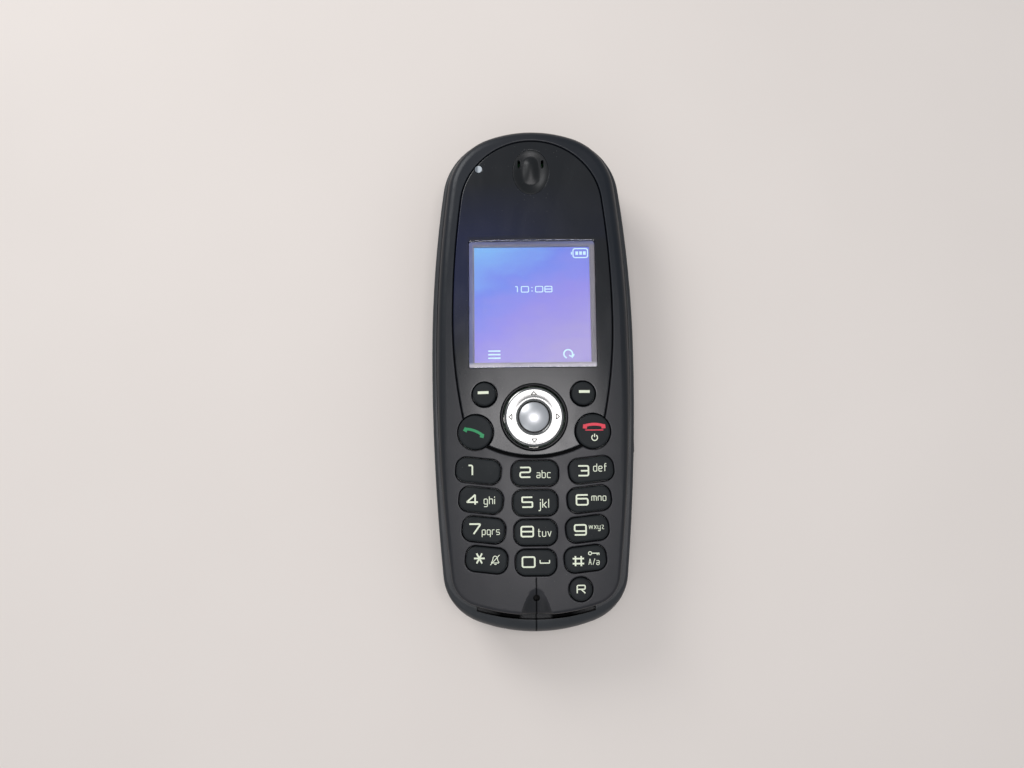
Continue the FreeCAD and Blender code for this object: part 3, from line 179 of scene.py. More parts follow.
# Earpiece, status light, microphone and dished mouthpiece
EAR_PLACE = 56.7
EAR_HALF_WIDTH = 5.1
EAR_HALF_LENGTH = 6.55
EAR_GAP = 0.06
EAR_LEDGE = 0.6
EAR_DROP = 0.1
EAR_ROUND = 0.12
EAR_SPACING = 0.25
EAR_DISH = 0.7
EAR_SLOPE = 3.4
NUB_LOW = 53.9
NUB_HIGH = 59.0
NUB_RADIUS = 2.5
NUB_LEVEL = 23.85
NUB_FALL = 0.024
NUB_SIDE_POWER = 1.4
SLOT_COLUMN = 3.3
SLOT_ROW = EAR_PLACE + 2.3
SLOT_WIDTH = 0.7
SLOT_LENGTH = 2.4
SLOT_CORNER = 0.34
LIGHT_PLACE = (-14.8, 57.8)
LIGHT_RADIUS = 1.0
LIGHT_GAP = 0.08
MIC_ROW = -60.9
MIC_HOLE = 0.85
SCOOP_APEX = -58.5
SCOOP_RADIUS = 5.4
SCOOP_SLOPE = math.radians(18.0)
SCOOP_SWING = 64.0
SCOOP_EDGE_STEPS = 60
SCOOP_SPACING = 0.35
SCOOP_LOW_CORNER = (-5.6, -65.6)
SCOOP_HIGH_CORNER = (5.6, SCOOP_APEX + 0.8)

# Camera: the photograph's viewpoint over the handset
CAMERA_TARGET = (-5.9, -3.75, 24.0)
CAMERA_DISTANCE = 218.4
CAMERA_TILT = math.radians(7.2)
CAMERA_ROLL = math.radians(-0.6)
CAMERA_LENS = 28.125
CAMERA_SENSOR = 36.0

# Floor, room and soft boxes: place, target, width, length, power and tint of each
FLOOR_HALF = 1.5
ROOM_COLOUR = (0.9, 0.95, 1.0, 1.0)
ROOM_STRENGTH = 0.53
SOFT_BOXES = {
    "left_softbox": ((-340.0, 400.0, 400.0), (0.0, 0.0, 20.0), 260.0, 260.0, 1.35, (1.0, 1.0, 1.0)),
    "ceiling_panel": ((12.0, -4.0, 540.0), (12.0, -3.0, 20.0), 240.0, 156.0, 0.86, (1.0, 0.97, 0.98)),
    "front_fill": ((-300.0, -420.0, 430.0), (0.0, -20.0, 20.0), 300.0, 200.0, 0.15, (1.0, 1.0, 1.0)),
}


# Plan shapes: each gives a ring of points, grown or shrunk, and its signed distance


def on_circle(x, y, radius, angles):
    """Points at angles on a circle about x, y."""
    return np.stack([x + radius * np.cos(angles), y + radius * np.sin(angles)], 1)


def full_turn(steps):
    """Angles that go once round, the first not repeated."""
    return np.linspace(0.0, 2 * math.pi, steps + 1)[:-1]


def turned_by(angle):
    """Matrix that turns rows of x and y anticlockwise."""
    sine, cosine = math.sin(angle), math.cos(angle)
    return np.array([[cosine, sine], [-sine, cosine]])


def arc(centre, radius, start, end):
    """Points on an arc, so close that its chords leave it by CHORD_SAG at most."""
    step = math.sqrt(8 * max(radius, SMALLEST_ARC) * CHORD_SAG)
    count = max(int(math.ceil(abs(end - start) * radius / step)), 2)
    return on_circle(*centre, radius, np.linspace(start, end, count + 1))


def divided(points, longest, closed=True):
    """A run of points with doubled points left out and no stretch longer than longest."""
    following = np.roll(points, -1, axis=0)
    last = points[-1:] if not closed else np.empty((0, 2))
    if not closed:
        points, following = points[:-1], following[:-1]
    gaps = np.hypot(*(following - points).T)
    apart = gaps > DOUBLED_POINT
    points, following, gaps = points[apart], following[apart], gaps[apart]
    counts = np.ceil(gaps / longest).astype(int)
    starts = np.repeat(points, counts, axis=0)
    steps = np.repeat((following - points) / counts[:, None], counts, axis=0)
    within = np.arange(counts.sum()) - np.repeat(np.cumsum(counts) - counts, counts)
    return np.concatenate([starts + steps * within[:, None], last])


def closed_ring(runs, longest=LONGEST_CHORD):
    return divided(np.concatenate(runs), longest)


class Outline:
    """Ten tangent arcs, symmetric about Y.

    The end arcs have their centres on Y, the side arcs on the widest line, and each
    shoulder and corner arc touches the two arcs that it joins.
    """

    def __init__(self, half_width, widest, top_end, bottom_end, top_arc, shoulder_arc, upper_arc,
                 lower_arc, corner_arc, bottom_arc):
        top = (0.0, top_end - top_arc)
        bottom = (0.0, bottom_end + bottom_arc)
        upper = (half_width - upper_arc, widest)
        lower = (half_width - lower_arc, widest)
        shoulder = self.meeting(upper, upper_arc - shoulder_arc, top, top_arc - shoulder_arc, True)
        corner = self.meeting(lower, lower_arc - corner_arc, bottom, bottom_arc - corner_arc, False)
        to_top = self.direction(top, shoulder)
        to_upper = self.direction(upper, shoulder)
        to_lower = self.direction(lower, corner)
        to_bottom = self.direction(bottom, corner)
        right = [(corner, corner_arc, to_bottom, to_lower), (lower, lower_arc, to_lower, 0.0),
                 (upper, upper_arc, 0.0, to_upper), (shoulder, shoulder_arc, to_upper, to_top)]
        left = [((-centre[0], centre[1]), radius, math.pi - end, math.pi - start)
                for centre, radius, start, end in reversed(right)]
        self.arcs = [(bottom, bottom_arc, -math.pi - to_bottom, to_bottom)] + right
        self.arcs += [(top, top_arc, to_top, math.pi - to_top)] + left

    @staticmethod
    def direction(centre, point):
        return math.atan2(point[1] - centre[1], point[0] - centre[0])

    @staticmethod
    def meeting(centre_a, radius_a, centre_b, radius_b, upper):
        """Where two circles cross: the upper or the lower of the two points."""
        across = np.subtract(centre_b, centre_a)
        apart = math.hypot(*across)
        along = (radius_a ** 2 - radius_b ** 2 + apart ** 2) / (2 * apart)
        aside = math.sqrt(max(radius_a ** 2 - along ** 2, 0.0))
        foot = np.add(centre_a, along * across / apart)
        sideways = aside * np.array([across[1], -across[0]]) / apart
        points = (tuple(foot + sideways), tuple(foot - sideways))
        return max(points, key=lambda point: point[1] if upper else -point[1])

    def ring(self, growth=0.0):
        return closed_ring([arc(centre, radius + growth, start, end)
                            for centre, radius, start, end in self.arcs], OUTLINE_CHORD)

    def distance(self, x, y):
        """Signed distance, negative inside: the nearest arc whose sector holds the point."""
        depth = np.full(np.shape(x), np.inf)
        for centre, radius, start, end in self.arcs:
            angle = np.mod(np.arctan2(y - centre[1], x - centre[0]) - start, 2 * math.pi)
            here = angle <= (end - start) % (2 * math.pi) + 1e-9
            inside = radius - np.hypot(x - centre[0], y - centre[1])
            depth = np.where(here, np.minimum(depth, inside), depth)
        return -depth


class ShrunkOutline:
    """A shape drawn in all round by a gap."""

    def __init__(self, shape, gap):
        self.shape = shape
        self.gap = gap

    def ring(self, growth=0.0):
        return self.shape.ring(growth - self.gap)

    def distance(self, x, y):
        return self.shape.distance(x, y) + self.gap


class RoundBox:
    """A rectangle with round corners, turned about its middle by degrees, anticlockwise."""

    def __init__(self, x, y, width, length, corner, turn=0.0):
        self.middle = np.array([x, y])
        self.half = np.array([width / 2 - corner, length / 2 - corner])
        self.corner = corner
        self.turning = turned_by(math.radians(turn))

    def ring(self, growth=0.0):
        runs = []
        for quarter, signs in enumerate(((1, 1), (-1, 1), (-1, -1), (1, -1))):
            start = quarter * math.pi / 2
            runs.append(arc(self.half * signs, self.corner + growth, start, start + math.pi / 2))
        return closed_ring(runs) @ self.turning + self.middle

    def distance(self, x, y):
        """Distance to the box between the corner centres, less the corner radius."""
        flat = np.stack([x - self.middle[0], y - self.middle[1]], -1) @ self.turning.T
        beyond = np.abs(flat) - self.half
        outside = np.hypot(*np.moveaxis(np.maximum(beyond, 0.0), -1, 0))
        return outside + np.minimum(beyond.max(-1), 0.0) - self.corner


class Disc(RoundBox):
    """A circle: a rectangle that is all corner."""

    def __init__(self, x, y, radius):
        super().__init__(x, y, 2 * radius, 2 * radius, radius)


class Oval:
    """An ellipse along X and Y."""

    def __init__(self, x, y, half_width, half_length):
        self.middle = np.array([x, y])
        self.half = np.array([half_width, half_length])

    def ring(self, growth=0.0):
        return self.middle + (self.half + growth) * on_circle(0.0, 0.0, 1.0, full_turn(OVAL_STEPS))

    def distance(self, x, y):
        """Level of the ellipse's equation over the length of its slope, near enough at the edge."""
        scaled = (np.stack([x, y], -1) - self.middle) / self.half
        level = np.hypot(*np.moveaxis(scaled, -1, 0))
        slope = np.hypot(*np.moveaxis(scaled / self.half, -1, 0)) / np.maximum(level, TINY)
        return (level - 1.0) / np.maximum(slope, TINY)


FRONT = Outline(half_width=26.8, widest=6.0, top_end=69.2, bottom_end=FRONT_BOTTOM_END, top_arc=38.0,
                shoulder_arc=17.4, upper_arc=360.0, lower_arc=450.0, corner_arc=8.5,
                bottom_arc=FRONT_BOTTOM_ARC)
FASCIA = Outline(half_width=22.2, widest=14.2, top_end=65.9, bottom_end=-23.4, top_arc=20.5,
                 shoulder_arc=18.4, upper_arc=262.0, lower_arc=132.0, corner_arc=6.3, bottom_arc=29.3)
GROOVE = Outline(half_width=22.3, widest=14.2, top_end=65.9, bottom_end=-24.0, top_arc=20.55,
                 shoulder_arc=18.45, upper_arc=262.0, lower_arc=130.0, corner_arc=6.6, bottom_arc=29.6)
WINDOW = RoundBox(0.0, WINDOW_PLACE, WINDOW_WIDTH, WINDOW_LENGTH, WINDOW_CORNER)
EARPIECE = Oval(0.0, EAR_PLACE, EAR_HALF_WIDTH, EAR_HALF_LENGTH)
LIGHT_OPENING = Disc(*LIGHT_PLACE, LIGHT_RADIUS + LIGHT_GAP)
ROUND_KEYS = {
    "soft_key_left": Disc(-SOFT_KEY_COLUMN, SOFT_KEY_ROW, SOFT_KEY_RADIUS),
    "soft_key_right": Disc(SOFT_KEY_COLUMN, SOFT_KEY_ROW, SOFT_KEY_RADIUS),
    "call_key": Disc(-CALL_KEY_COLUMN, CALL_KEY_ROW, CALL_KEY_RADIUS),
    "end_key": Disc(CALL_KEY_COLUMN, CALL_KEY_ROW, CALL_KEY_RADIUS),
    "recall_key": Disc(*RECALL_KEY_PLACE, RECALL_KEY_RADIUS),
}


def key_openings():
    """The opening of each key by node: rows that narrow towards the chin, and the round keys."""
    openings = dict(ROUND_KEYS)
    for row, (left, middle, right) in enumerate(KEY_ROWS):
        for side, node in ((-1, left), (1, right)):
            openings[node] = RoundBox(side * (OUTER_COLUMN - row * OUTER_COLUMN_STEP),
                                      OUTER_FIRST_ROW - row * ROW_PITCH,
                                      OUTER_KEY_WIDTH - row * OUTER_WIDTH_STEP, KEY_LENGTH, KEY_CORNER,
                                      side * KEY_TILT)
        openings[middle] = RoundBox(0.0, CENTRE_FIRST_ROW - row * ROW_PITCH,
                                    CENTRE_KEY_WIDTH - row * CENTRE_WIDTH_STEP,
                                    KEY_LENGTH + CENTRE_KEY_EXTRA, KEY_CORNER)
    return openings


KEYS = key_openings()
PLATE_KEYS = [ROUND_KEYS[node] for node in ("soft_key_left", "soft_key_right", "call_key", "end_key")]


# Heights


def crown(x):
    """Height of the crowned front over the middle of its round section."""
    return FRONT_HEIGHT - CROWN_RADIUS + np.sqrt(CROWN_RADIUS ** 2 - x ** 2)


def rounded_drop(depth, radius):
    """How far a quarter-round edge falls below its flat at a depth from the edge."""
    across = np.clip(radius - depth, 0.0, radius)
    return radius - np.sqrt(radius ** 2 - across ** 2)


def scoop_height(x, y):
    """Lower side of a round bar that slopes down from the scoop's apex towards the chin."""
    sine, cosine = math.sin(SCOOP_SLOPE), math.cos(SCOOP_SLOPE)
    sag = np.sqrt(np.maximum(SCOOP_RADIUS ** 2 - x ** 2, 0.0))
    run = y - SCOOP_APEX + SCOOP_RADIUS * sine
    height = FRONT_HEIGHT + SCOOP_RADIUS * cosine + (run * sine - sag) / cosine
    return np.where((np.abs(x) < SCOOP_RADIUS) & (y < SCOOP_APEX + 1.0), height, np.inf)


def scoop_edge():
    """The line where the scoop meets the crowned front, from the chin round the apex and back."""
    sine, cosine = math.sin(SCOOP_SLOPE), math.cos(SCOOP_SLOPE)
    angles = np.radians(np.linspace(-SCOOP_SWING, SCOOP_SWING, SCOOP_EDGE_STEPS + 1))
    x = SCOOP_RADIUS * np.sin(angles)
    rise = crown(x) - FRONT_HEIGHT - SCOOP_RADIUS * cosine
    y = SCOOP_APEX - SCOOP_RADIUS * sine + (rise * cosine + SCOOP_RADIUS * np.cos(angles)) / sine
    inside = (FRONT.distance(x, y) < -0.05) & (np.hypot(x, y - MIC_ROW) > MIC_HOLE + 0.4)
    return np.stack([x, y], 1)[inside]


def front_round(x, y):
    """Radius of the front's upper edge: wide towards the earpiece, fine at the chin."""
    return np.interp(y, FRONT_ROUND_PLACES, (FRONT_LOW_ROUND, FRONT_EDGE_ROUND))


def front_top(x, y):
    return np.minimum(crown(x), scoop_height(x, y))


def fascia_top(x, y):
    return crown(x) - FASCIA_RECESS


def fascia_under(x, y):
    return crown(x) - FASCIA_RECESS - FASCIA_THICKNESS


def front_under(x, y):
    """Underside of the front shell: its edge rests on the rear shell, the rest is an even wall."""
    edge = -FRONT.distance(x, y) < FRONT_SIDE_WALL + 0.01
    return np.where(edge, PARTING_HEIGHT + SEAM_GAP, front_top(x, y) - FRONT_WALL)


def key_top(opening):
    """Top of a key: the crown raised, with a low pillow that is highest in the middle."""
    reach = max(opening.half.min() + opening.corner - KEY_GAP, 1.0)

    def height(x, y):
        depth = np.clip(-opening.distance(x, y) / reach, 0.0, 1.0)
        return crown(x) + KEY_PROUD + KEY_PILLOW * (1.0 - (1.0 - depth) ** 2) - KEY_PILLOW / 2

    return height


def ear_top(x, y):
    """Oval dish that falls smoothly from its rim, with a finger-shaped nub along its middle.

    The nub's ridge bends down towards the display. Its sides follow one less the square of the
    distance from its middle line over its radius, to the power NUB_SIDE_POWER.
    """
    depth = np.clip(-EARPIECE.distance(x, y) / EAR_SLOPE, 0.0, 1.0)
    dish = crown(x) - FASCIA_RECESS - EAR_DISH * depth ** 2 * (3 - 2 * depth)
    reach = np.hypot(x, y - np.clip(y, NUB_LOW, NUB_HIGH)) / NUB_RADIUS
    ridge = NUB_LEVEL - NUB_FALL * (NUB_HIGH - y) ** 2
    return dish + np.maximum(ridge - dish, 0.0) * np.clip(1.0 - reach ** 2, 0.0, 1.0) ** NUB_SIDE_POWER


# Meshes


def make_piece(name, points, faces, body, finish, edge=None, smooth=SMOOTH_ANGLE):
    """A mesh object from points in millimetres; edge is the nearness to an edge at each point."""
    mesh = bpy.data.meshes.new(name)
    mesh.from_pydata((points * MM).tolist(), [], faces)
    mesh.shade_smooth()
    mesh.set_sharp_from_angle(angle=math.radians(smooth))
    if edge is not None:
        nearness = mesh.attributes.new("edge", "FLOAT", "POINT")
        nearness.data.foreach_set("value", edge.astype(np.float32))
    material, slot = finish
    mesh.materials.append(material)
    piece = bpy.data.objects.new(name, mesh)
    bpy.context.scene.collection.objects.link(piece)
    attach(piece, body)
    return piece


def raised(plan, faces, top, under):
    """Closed solid over a plan: the faces at the heights top, again at under, and walls between."""
    count = len(plan)
    points = np.concatenate([np.column_stack([plan, top]), np.column_stack([plan, under])])
    sides = np.concatenate([np.stack([faces[:, i], faces[:, (i + 1) % faces.shape[1]]], 1)
                            for i in range(faces.shape[1])])
    keys = sides[:, 0] * count + sides[:, 1]
    rim = sides[~np.isin(keys, sides[:, 1] * count + sides[:, 0])]
    walls = np.stack([rim[:, 0], rim[:, 0] + count, rim[:, 1] + count, rim[:, 1]], 1)
    return points, faces.tolist() + (faces[:, ::-1] + count).tolist() + walls.tolist()


def grid_points(low, high, spacing):
    columns = np.arange(low[0] + spacing / 2, high[0], spacing)
    rows = np.arange(low[1] + spacing / 2, high[1], spacing)
    return np.stack(np.meshgrid(columns, rows), -1).reshape(-1, 2)


def plan_mesh(rings, creases, room, spacing, clearance, fine):
    """Triangles over a plan, with the rings and creases as edges and grids between them.

    Triangles stay where room() > 0. A grid has the spacing everywhere, and fine gives a
    smaller spacing inside a box.
    """
    edges = []
    first = 0
    for ring in rings + creases:
        index = first + np.arange(len(ring))
        pairs = np.stack([index, np.roll(index, -1)], 1)
        edges += (pairs if first < sum(len(loop) for loop in rings) else pairs[:-1]).tolist()
        first += len(ring)
    corners = np.concatenate(rings + creases)
    low, high = corners.min(0), corners.max(0)
    grid = grid_points(low, high, spacing)
    if fine:
        dense, low, high = fine
        grid = grid[((grid < low) | (grid > high)).any(1)]
        grid = np.concatenate([grid, grid_points(np.array(low), np.array(high), dense)])
    grid = grid[room(*grid.T) > clearance]
    for crease in creases:
        apart = np.hypot(*np.moveaxis(grid[:, None] - crease[None], -1, 0)).min(1)
        grid = grid[apart > CREASE_ROOM]
    inputs = [Vector(point) for point in np.concatenate([corners, grid]).tolist()]
    found, _, faces, *_ = delaunay_2d_cdt(inputs, edges, [], 0, MERGED_POINTS)
    plan = np.array([point[:] for point in found])
    faces = np.array([face for face in faces if len(face) == 3])
    a, b, c = plan[faces[:, 0]], plan[faces[:, 1]], plan[faces[:, 2]]
    area = (b[:, 0] - a[:, 0]) * (c[:, 1] - a[:, 1]) - (b[:, 1] - a[:, 1]) * (c[:, 0] - a[:, 0])
    faces = np.where(area[:, None] < 0, faces[:, ::-1], faces)
    middles = (a + b + c) / 3
    faces = faces[(room(*middles.T) > 0) & (np.abs(area) > NO_AREA)]
    used, compact = np.unique(faces, return_inverse=True)
    return plan[used], compact.reshape(-1, 3)


def sheet_piece(name, outer, openings, top, under, body, finish, outer_round, opening_rounds,
                spacing=1.2, more_rings=(), creases=(), fine=None, smooth=SMOOTH_ANGLE, round_at=None):
    """A closed sheet between an outer shape and openings, its upper edges rounded.

    Height over the plan is the top less the fall of the nearest rounded edge. Rings follow each
    edge at the depths of a quarter round, which are its radius times one less the sine of the
    step, and one more ring just inside them keeps the flat from shading into the round. round_at
    gives the outer round where it changes along the edge.
    """
    rings = [outer.ring(-outer_round * (1 - step)) for step in ROUND_STEPS]
    rings += [outer.ring(-depth) for depth in (outer_round + INNER_RING, *more_rings)]
    for opening, radius in zip(openings, opening_rounds):
        rings += [opening.ring(radius * (1 - step)) for step in ROUND_STEPS[[0, 2, 3, 4]]]
        rings.append(opening.ring(radius + OPENING_RING))

    def room(x, y):
        return np.minimum.reduce([-outer.distance(x, y)] + [hole.distance(x, y) for hole in openings])

    widest_round = max([outer_round] + list(opening_rounds))
    clearance = min(widest_round, 0.6) + 0.25 * spacing
    plan, faces = plan_mesh(rings, list(creases), room, spacing, clearance, fine)
    x, y = plan.T
    falls = [rounded_drop(-outer.distance(x, y), round_at(x, y) if round_at else outer_round)]
    falls += [rounded_drop(hole.distance(x, y), radius)
              for hole, radius in zip(openings, opening_rounds)]
    upper = top(x, y) - np.maximum.reduce(falls)
    lower = np.minimum(under(x, y), upper - THINNEST_SHEET)
    points, all_faces = raised(plan, faces, upper, lower)
    nearness = np.tile(np.clip(1.0 - room(x, y) / EDGE_REACH, 0.0, 1.0), 2)
    return make_piece(name, points, all_faces, body, finish, nearness, smooth)


def soft_corners(points, radius, steps=5, closed=False):
    """A run of straight lines with each corner replaced by an arc of the radius, or a smaller
    one where the corner's sides are short."""
    points = np.asarray(points, float)
    result = []
    count = len(points)
    for number, corner in enumerate(points):
        if not closed and number in (0, count - 1):
            result.append(corner[None])
            continue
        before = points[number - 1] - corner
        after = points[(number + 1) % count] - corner
        lengths = np.hypot(*before), np.hypot(*after)
        before, after = before / lengths[0], after / lengths[1]
        half = math.acos(np.clip(before @ after, -1.0, 1.0)) / 2
        if half > math.pi / 2 - 0.02 or radius <= 0.0:
            result.append(corner[None])
            continue
        reach = min(radius / math.tan(half), 0.49 * min(lengths))
        middle = before + after
        middle = corner + middle / np.hypot(*middle) * reach / math.cos(half)
        start, end = corner + before * reach - middle, corner + after * reach - middle
        turn = math.atan2(start[0] * end[1] - start[1] * end[0], start @ end)
        angles = np.arctan2(start[1], start[0]) + np.linspace(0.0, turn, steps + 1)
        result.append(middle + np.hypot(*start) * np.stack([np.cos(angles), np.sin(angles)], 1))
    return np.concatenate(result)


def turned_piece(name, profile, x, y, body, finish, closed=True):
    """A profile of (radius, height) points turned about the upright axis through x, y.

    A closed profile makes a ring. An open one starts and ends on the axis, where its ends
    become poles.
    """
    profile = np.asarray(profile, float)
    walls = profile if closed else profile[1:-1]
    around = on_circle(0.0, 0.0, 1.0, full_turn(TURN_STEPS))
    flat = np.array([x, y]) + walls[:, None, 0, None] * around[None]
    heights = np.broadcast_to(walls[:, None, 1, None], flat.shape[:2] + (1,))
    points = np.concatenate([flat, heights], -1).reshape(-1, 3)
    rows = np.arange(len(walls)) * TURN_STEPS
    lower, upper = (rows, np.roll(rows, -1)) if closed else (rows[:-1], rows[1:])
    step = np.arange(TURN_STEPS)
    after = (step + 1) % TURN_STEPS
    quads = np.stack([lower[:, None] + step, upper[:, None] + step, upper[:, None] + after,
                      lower[:, None] + after], -1).reshape(-1, 4)
    faces = quads.tolist()
    if not closed:
        poles = np.array([[x, y, profile[0, 1]], [x, y, profile[-1, 1]]])
        points = np.concatenate([points, poles])
        pole = np.full(TURN_STEPS, len(points) - 2)
        faces += np.stack([pole, step, after], 1).tolist()
        faces += np.stack([pole + 1, rows[-1] + after, rows[-1] + step], 1).tolist()
    return make_piece(name, points, faces, body, finish)


def ribbon(path, width, closed=False):
    """Plan of a stroke: points at half its width to each side of the path, mitred at its corners."""
    path = divided(np.asarray(path, float), STROKE_CHORD, closed)
    ahead = np.roll(path, -1, axis=0) - path
    if not closed:
        ahead[-1] = ahead[-2]
    behind = np.roll(ahead, 1, axis=0)
    if not closed:
        behind[0] = ahead[0]
    ahead /= np.hypot(*ahead.T)[:, None]
    behind /= np.hypot(*behind.T)[:, None]
    middle = ahead + behind
    middle /= np.maximum(np.hypot(*middle.T), TINY)[:, None]
    stretch = np.clip(1.0 / np.maximum((middle * ahead).sum(1), TINY), 1.0, LONGEST_MITRE)
    aside = np.stack([-middle[:, 1], middle[:, 0]], 1) * (stretch * width / 2)[:, None]
    count = len(path)
    plan = np.concatenate([path + aside, path - aside])
    near = np.arange(count if closed else count - 1)
    far = (near + 1) % count
    return plan, np.stack([near, near + count, far + count, far], 1)


def printed(name, strokes, surface, body, finish, lift=PRINT_LIFT):
    """Strokes printed on a surface: each a path, a width and whether it is closed."""
    plans, faces = [], []
    first = 0
    for path, width, closed in strokes:
        plan, quads = ribbon(path, width, closed)
        plans.append(plan)
        faces.append(quads + first)
        first += len(plan)
    plan = np.concatenate(plans)
    heights = surface(*plan.T)
    points, all_faces = raised(plan, np.concatenate(faces), heights + lift, heights - 2 * lift)
    return make_piece(name, points, all_faces, body, finish, smooth=PRINT_SMOOTH_ANGLE)


# Legends: each sign is runs of grid points, xy by xy; a dot closes a run

DIGITS = {
    "0": "00808808.", "1": "285850", "2": "088884040080", "3": "08888000 2484", "4": "680282 6860",
    "5": "880804848000", "6": "880800808505", "7": "088830", "8": "00808808. 0484",
    "9": "008088080383", "*": "0484 2860 6820", "#": "2028 6068 0282 0686", "R": "0008888404 4480",
}
LETTERS = {
    "a": "064642020444", "b": "0802424606", "c": "46060242", "d": "4842020646", "e": "420206464404",
    "f": "381812 0636", "g": "420206464000", "h": "0802 064642", "i": "0206 0708", "j": "262000 2728",
    "k": "0802 461442", "l": "0802", "m": "02066662 3632", "n": "02064642", "o": "02424606.",
    "p": "0006464202", "q": "4046060242", "r": "020636", "s": "460604444202", "t": "181232 0636",
    "u": "06024246", "v": "062246", "w": "0612365266", "x": "0642 0246", "y": "060242 464000",
    "z": "06460242", "A": "022842 1434", "/": "0238",
}
# Signs that are wider than DIGIT_WIDTH, and those with sharper corners than their kind
WIDE_DIGITS = {"0": 1.2, "4": 1.1, "6": 1.12, "7": 1.12, "8": 1.17, "9": 1.12, "*": 1.05, "#": 1.12}
SHARP_SIGNS = {"4": 0.06, "7": 0.2, "*": 0.05, "#": 0.05, "A": 0.03, "v": 0.03, "w": 0.03, "k": 0.03,
               "5": 0.2}
DIGIT_WIDTH = 2.72
DIGIT_HEIGHT = 2.6
DIGIT_STROKE = 0.42
DIGIT_SOFTNESS = 0.42
DIGIT_GRID = 8
LETTER_UNIT = 0.225
LETTER_RISE = 0.335
LETTER_STROKE = 0.21
LETTER_SOFTNESS = 0.26
LETTER_GAP = 2.3
BASELINE = 2

# Digit of each key: sign, x and y of its middle
DIGIT_PLACES = {
    "key_1": ("1", -1.9, 0.2), "key_2": ("2", -2.6, 0.28), "key_3": ("3", -2.2, -0.25),
    "key_4": ("4", -2.3, 0.2), "key_5": ("5", -2.15, 0.2), "key_6": ("6", -2.0, -0.15),
    "key_7": ("7", -2.3, 0.3), "key_8": ("8", -2.25, 0.3), "key_9": ("9", -1.95, -0.2),
    "key_star": ("*", -1.9, 0.45), "key_0": ("0", -2.0, 0.2), "key_hash": ("#", -1.95, -0.5),
}
# Letters of each key: x of their middle, baseline, size
WORD_PLACES = {
    "key_2": ("abc", 2.35, -1.3), "key_3": ("def", 2.3, -0.5), "key_4": ("ghi", 2.25, -1.1),
    "key_5": ("jkl", 2.2, -1.4, 1.14), "key_6": ("mno", 2.5, -0.5, 0.92),
    "key_7": ("pqrs", 1.9, -1.3, 0.94), "key_8": ("tuv", 2.35, -1.1),
    "key_9": ("wxyz", 2.4, -0.1, 0.72), "key_hash": ("A/a", 2.2, -1.6, 0.8),
}
SOFT_MARK_WIDTH = 0.75
POWER_SIGN_PLACE = (0.3, -1.75)
CLOCK_ROW = 23.4
CLOCK_SIZE = 0.62


def moved(strokes, middle):
    """Strokes carried from the origin to a middle."""
    return [(np.asarray(path) + middle, width, closed) for path, width, closed in strokes]


def sign_strokes(text, origin, scale, stroke, softness):
    """Strokes of one sign from its runs of grid points."""
    strokes = []
    for run in text.split():
        closed = run.endswith(".")
        numbers = np.array([int(mark) for mark in run.rstrip(".")], float).reshape(-1, 2)
        path = np.asarray(origin) + numbers * scale
        strokes.append((soft_corners(path, softness, 4, closed), stroke, closed))
    return strokes


def digit(sign, x, y, size=1.0):
    """A wide squared digit, centred on x, y."""
    scale = np.array([DIGIT_WIDTH * WIDE_DIGITS.get(sign, 1.0), DIGIT_HEIGHT]) / DIGIT_GRID * size
    origin = np.array([x, y]) - scale * DIGIT_GRID / 2
    softness = SHARP_SIGNS.get(sign, DIGIT_SOFTNESS) * size
    return sign_strokes(DIGITS[sign], origin, scale, DIGIT_STROKE * size, softness)


def word(text, x, baseline, size=1.0):
    """Small letters, centred on x, standing on the baseline."""
    widths = [max(int(mark) for run in LETTERS[letter].split() for mark in run.rstrip(".")[::2])
              for letter in text]
    unit = np.array([LETTER_UNIT, LETTER_RISE]) * size
    total = sum(widths) + LETTER_GAP * (len(text) - 1)
    start = x - total * unit[0] / 2
    strokes = []
    for letter, width in zip(text, widths):
        origin = (start, baseline - BASELINE * unit[1] + LETTER_STROKE / 2)
        softness = SHARP_SIGNS.get(letter, LETTER_SOFTNESS) * size
        strokes += sign_strokes(LETTERS[letter], origin, unit, LETTER_STROKE * size, softness)
        start += (width + LETTER_GAP) * unit[0]
    return strokes


def bell(x, y):
    """A bell struck through by a slanting line."""
    body = [(-1.15, -0.75), (-0.75, -0.3), (-0.5, 0.75), (0.0, 1.15), (0.5, 0.75), (0.75, -0.3),
            (1.15, -0.75)]
    strokes = [(soft_corners(body, 0.4, 4, True), 0.2, True), ([(-1.3, -1.3), (1.15, 1.3)], 0.2, False),
               ([(-0.25, -1.1), (0.35, -1.1)], 0.22, False)]
    return moved(strokes, (x, y))


def space_bar(x, y):
    """A flat bracket, open upwards."""
    corners = [(-1.25, 0.5), (-1.25, -0.3), (1.25, -0.3), (1.25, 0.5)]
    return moved([(soft_corners(corners, 0.15), 0.3, False)], (x, y))


def lock_key(x, y):
    """A small key: a round bow, a shank and two teeth."""
    strokes = [(on_circle(-1.05, 0.0, 0.42, full_turn(20)), 0.24, True),
               ([(-0.6, 0.0), (1.45, 0.0)], 0.26, False)]
    strokes += [([(place, 0.0), (place, -0.5)], 0.24, False) for place in (0.85, 1.35)]
    return moved(strokes, (x, y))


def handset(x, y, turn, size=1.0):
    """A telephone receiver: a bowed grip with a thick block at each end."""
    turning = turned_by(math.radians(turn)) * size
    along = np.linspace(-1.0, 1.0, 15)
    strokes = [(np.stack([2.35 * along, 0.35 * (1.0 - along ** 2)], 1), 0.72)]
    strokes += [(np.array([(2.3 * side, 0.3), (2.45 * side, -0.75)]), 1.05) for side in (-1, 1)]
    return moved([(path @ turning, width * size, False) for path, width in strokes], (x, y))


def power_sign(x, y):
    """An open ring with an upright line in its gap."""
    loop = on_circle(0.0, 0.0, 0.78, np.radians(np.linspace(125.0, 415.0, 30)))
    return moved([(loop, 0.27, False), ([(0.0, 0.15), (0.0, 1.05)], 0.27, False)], (x, y))


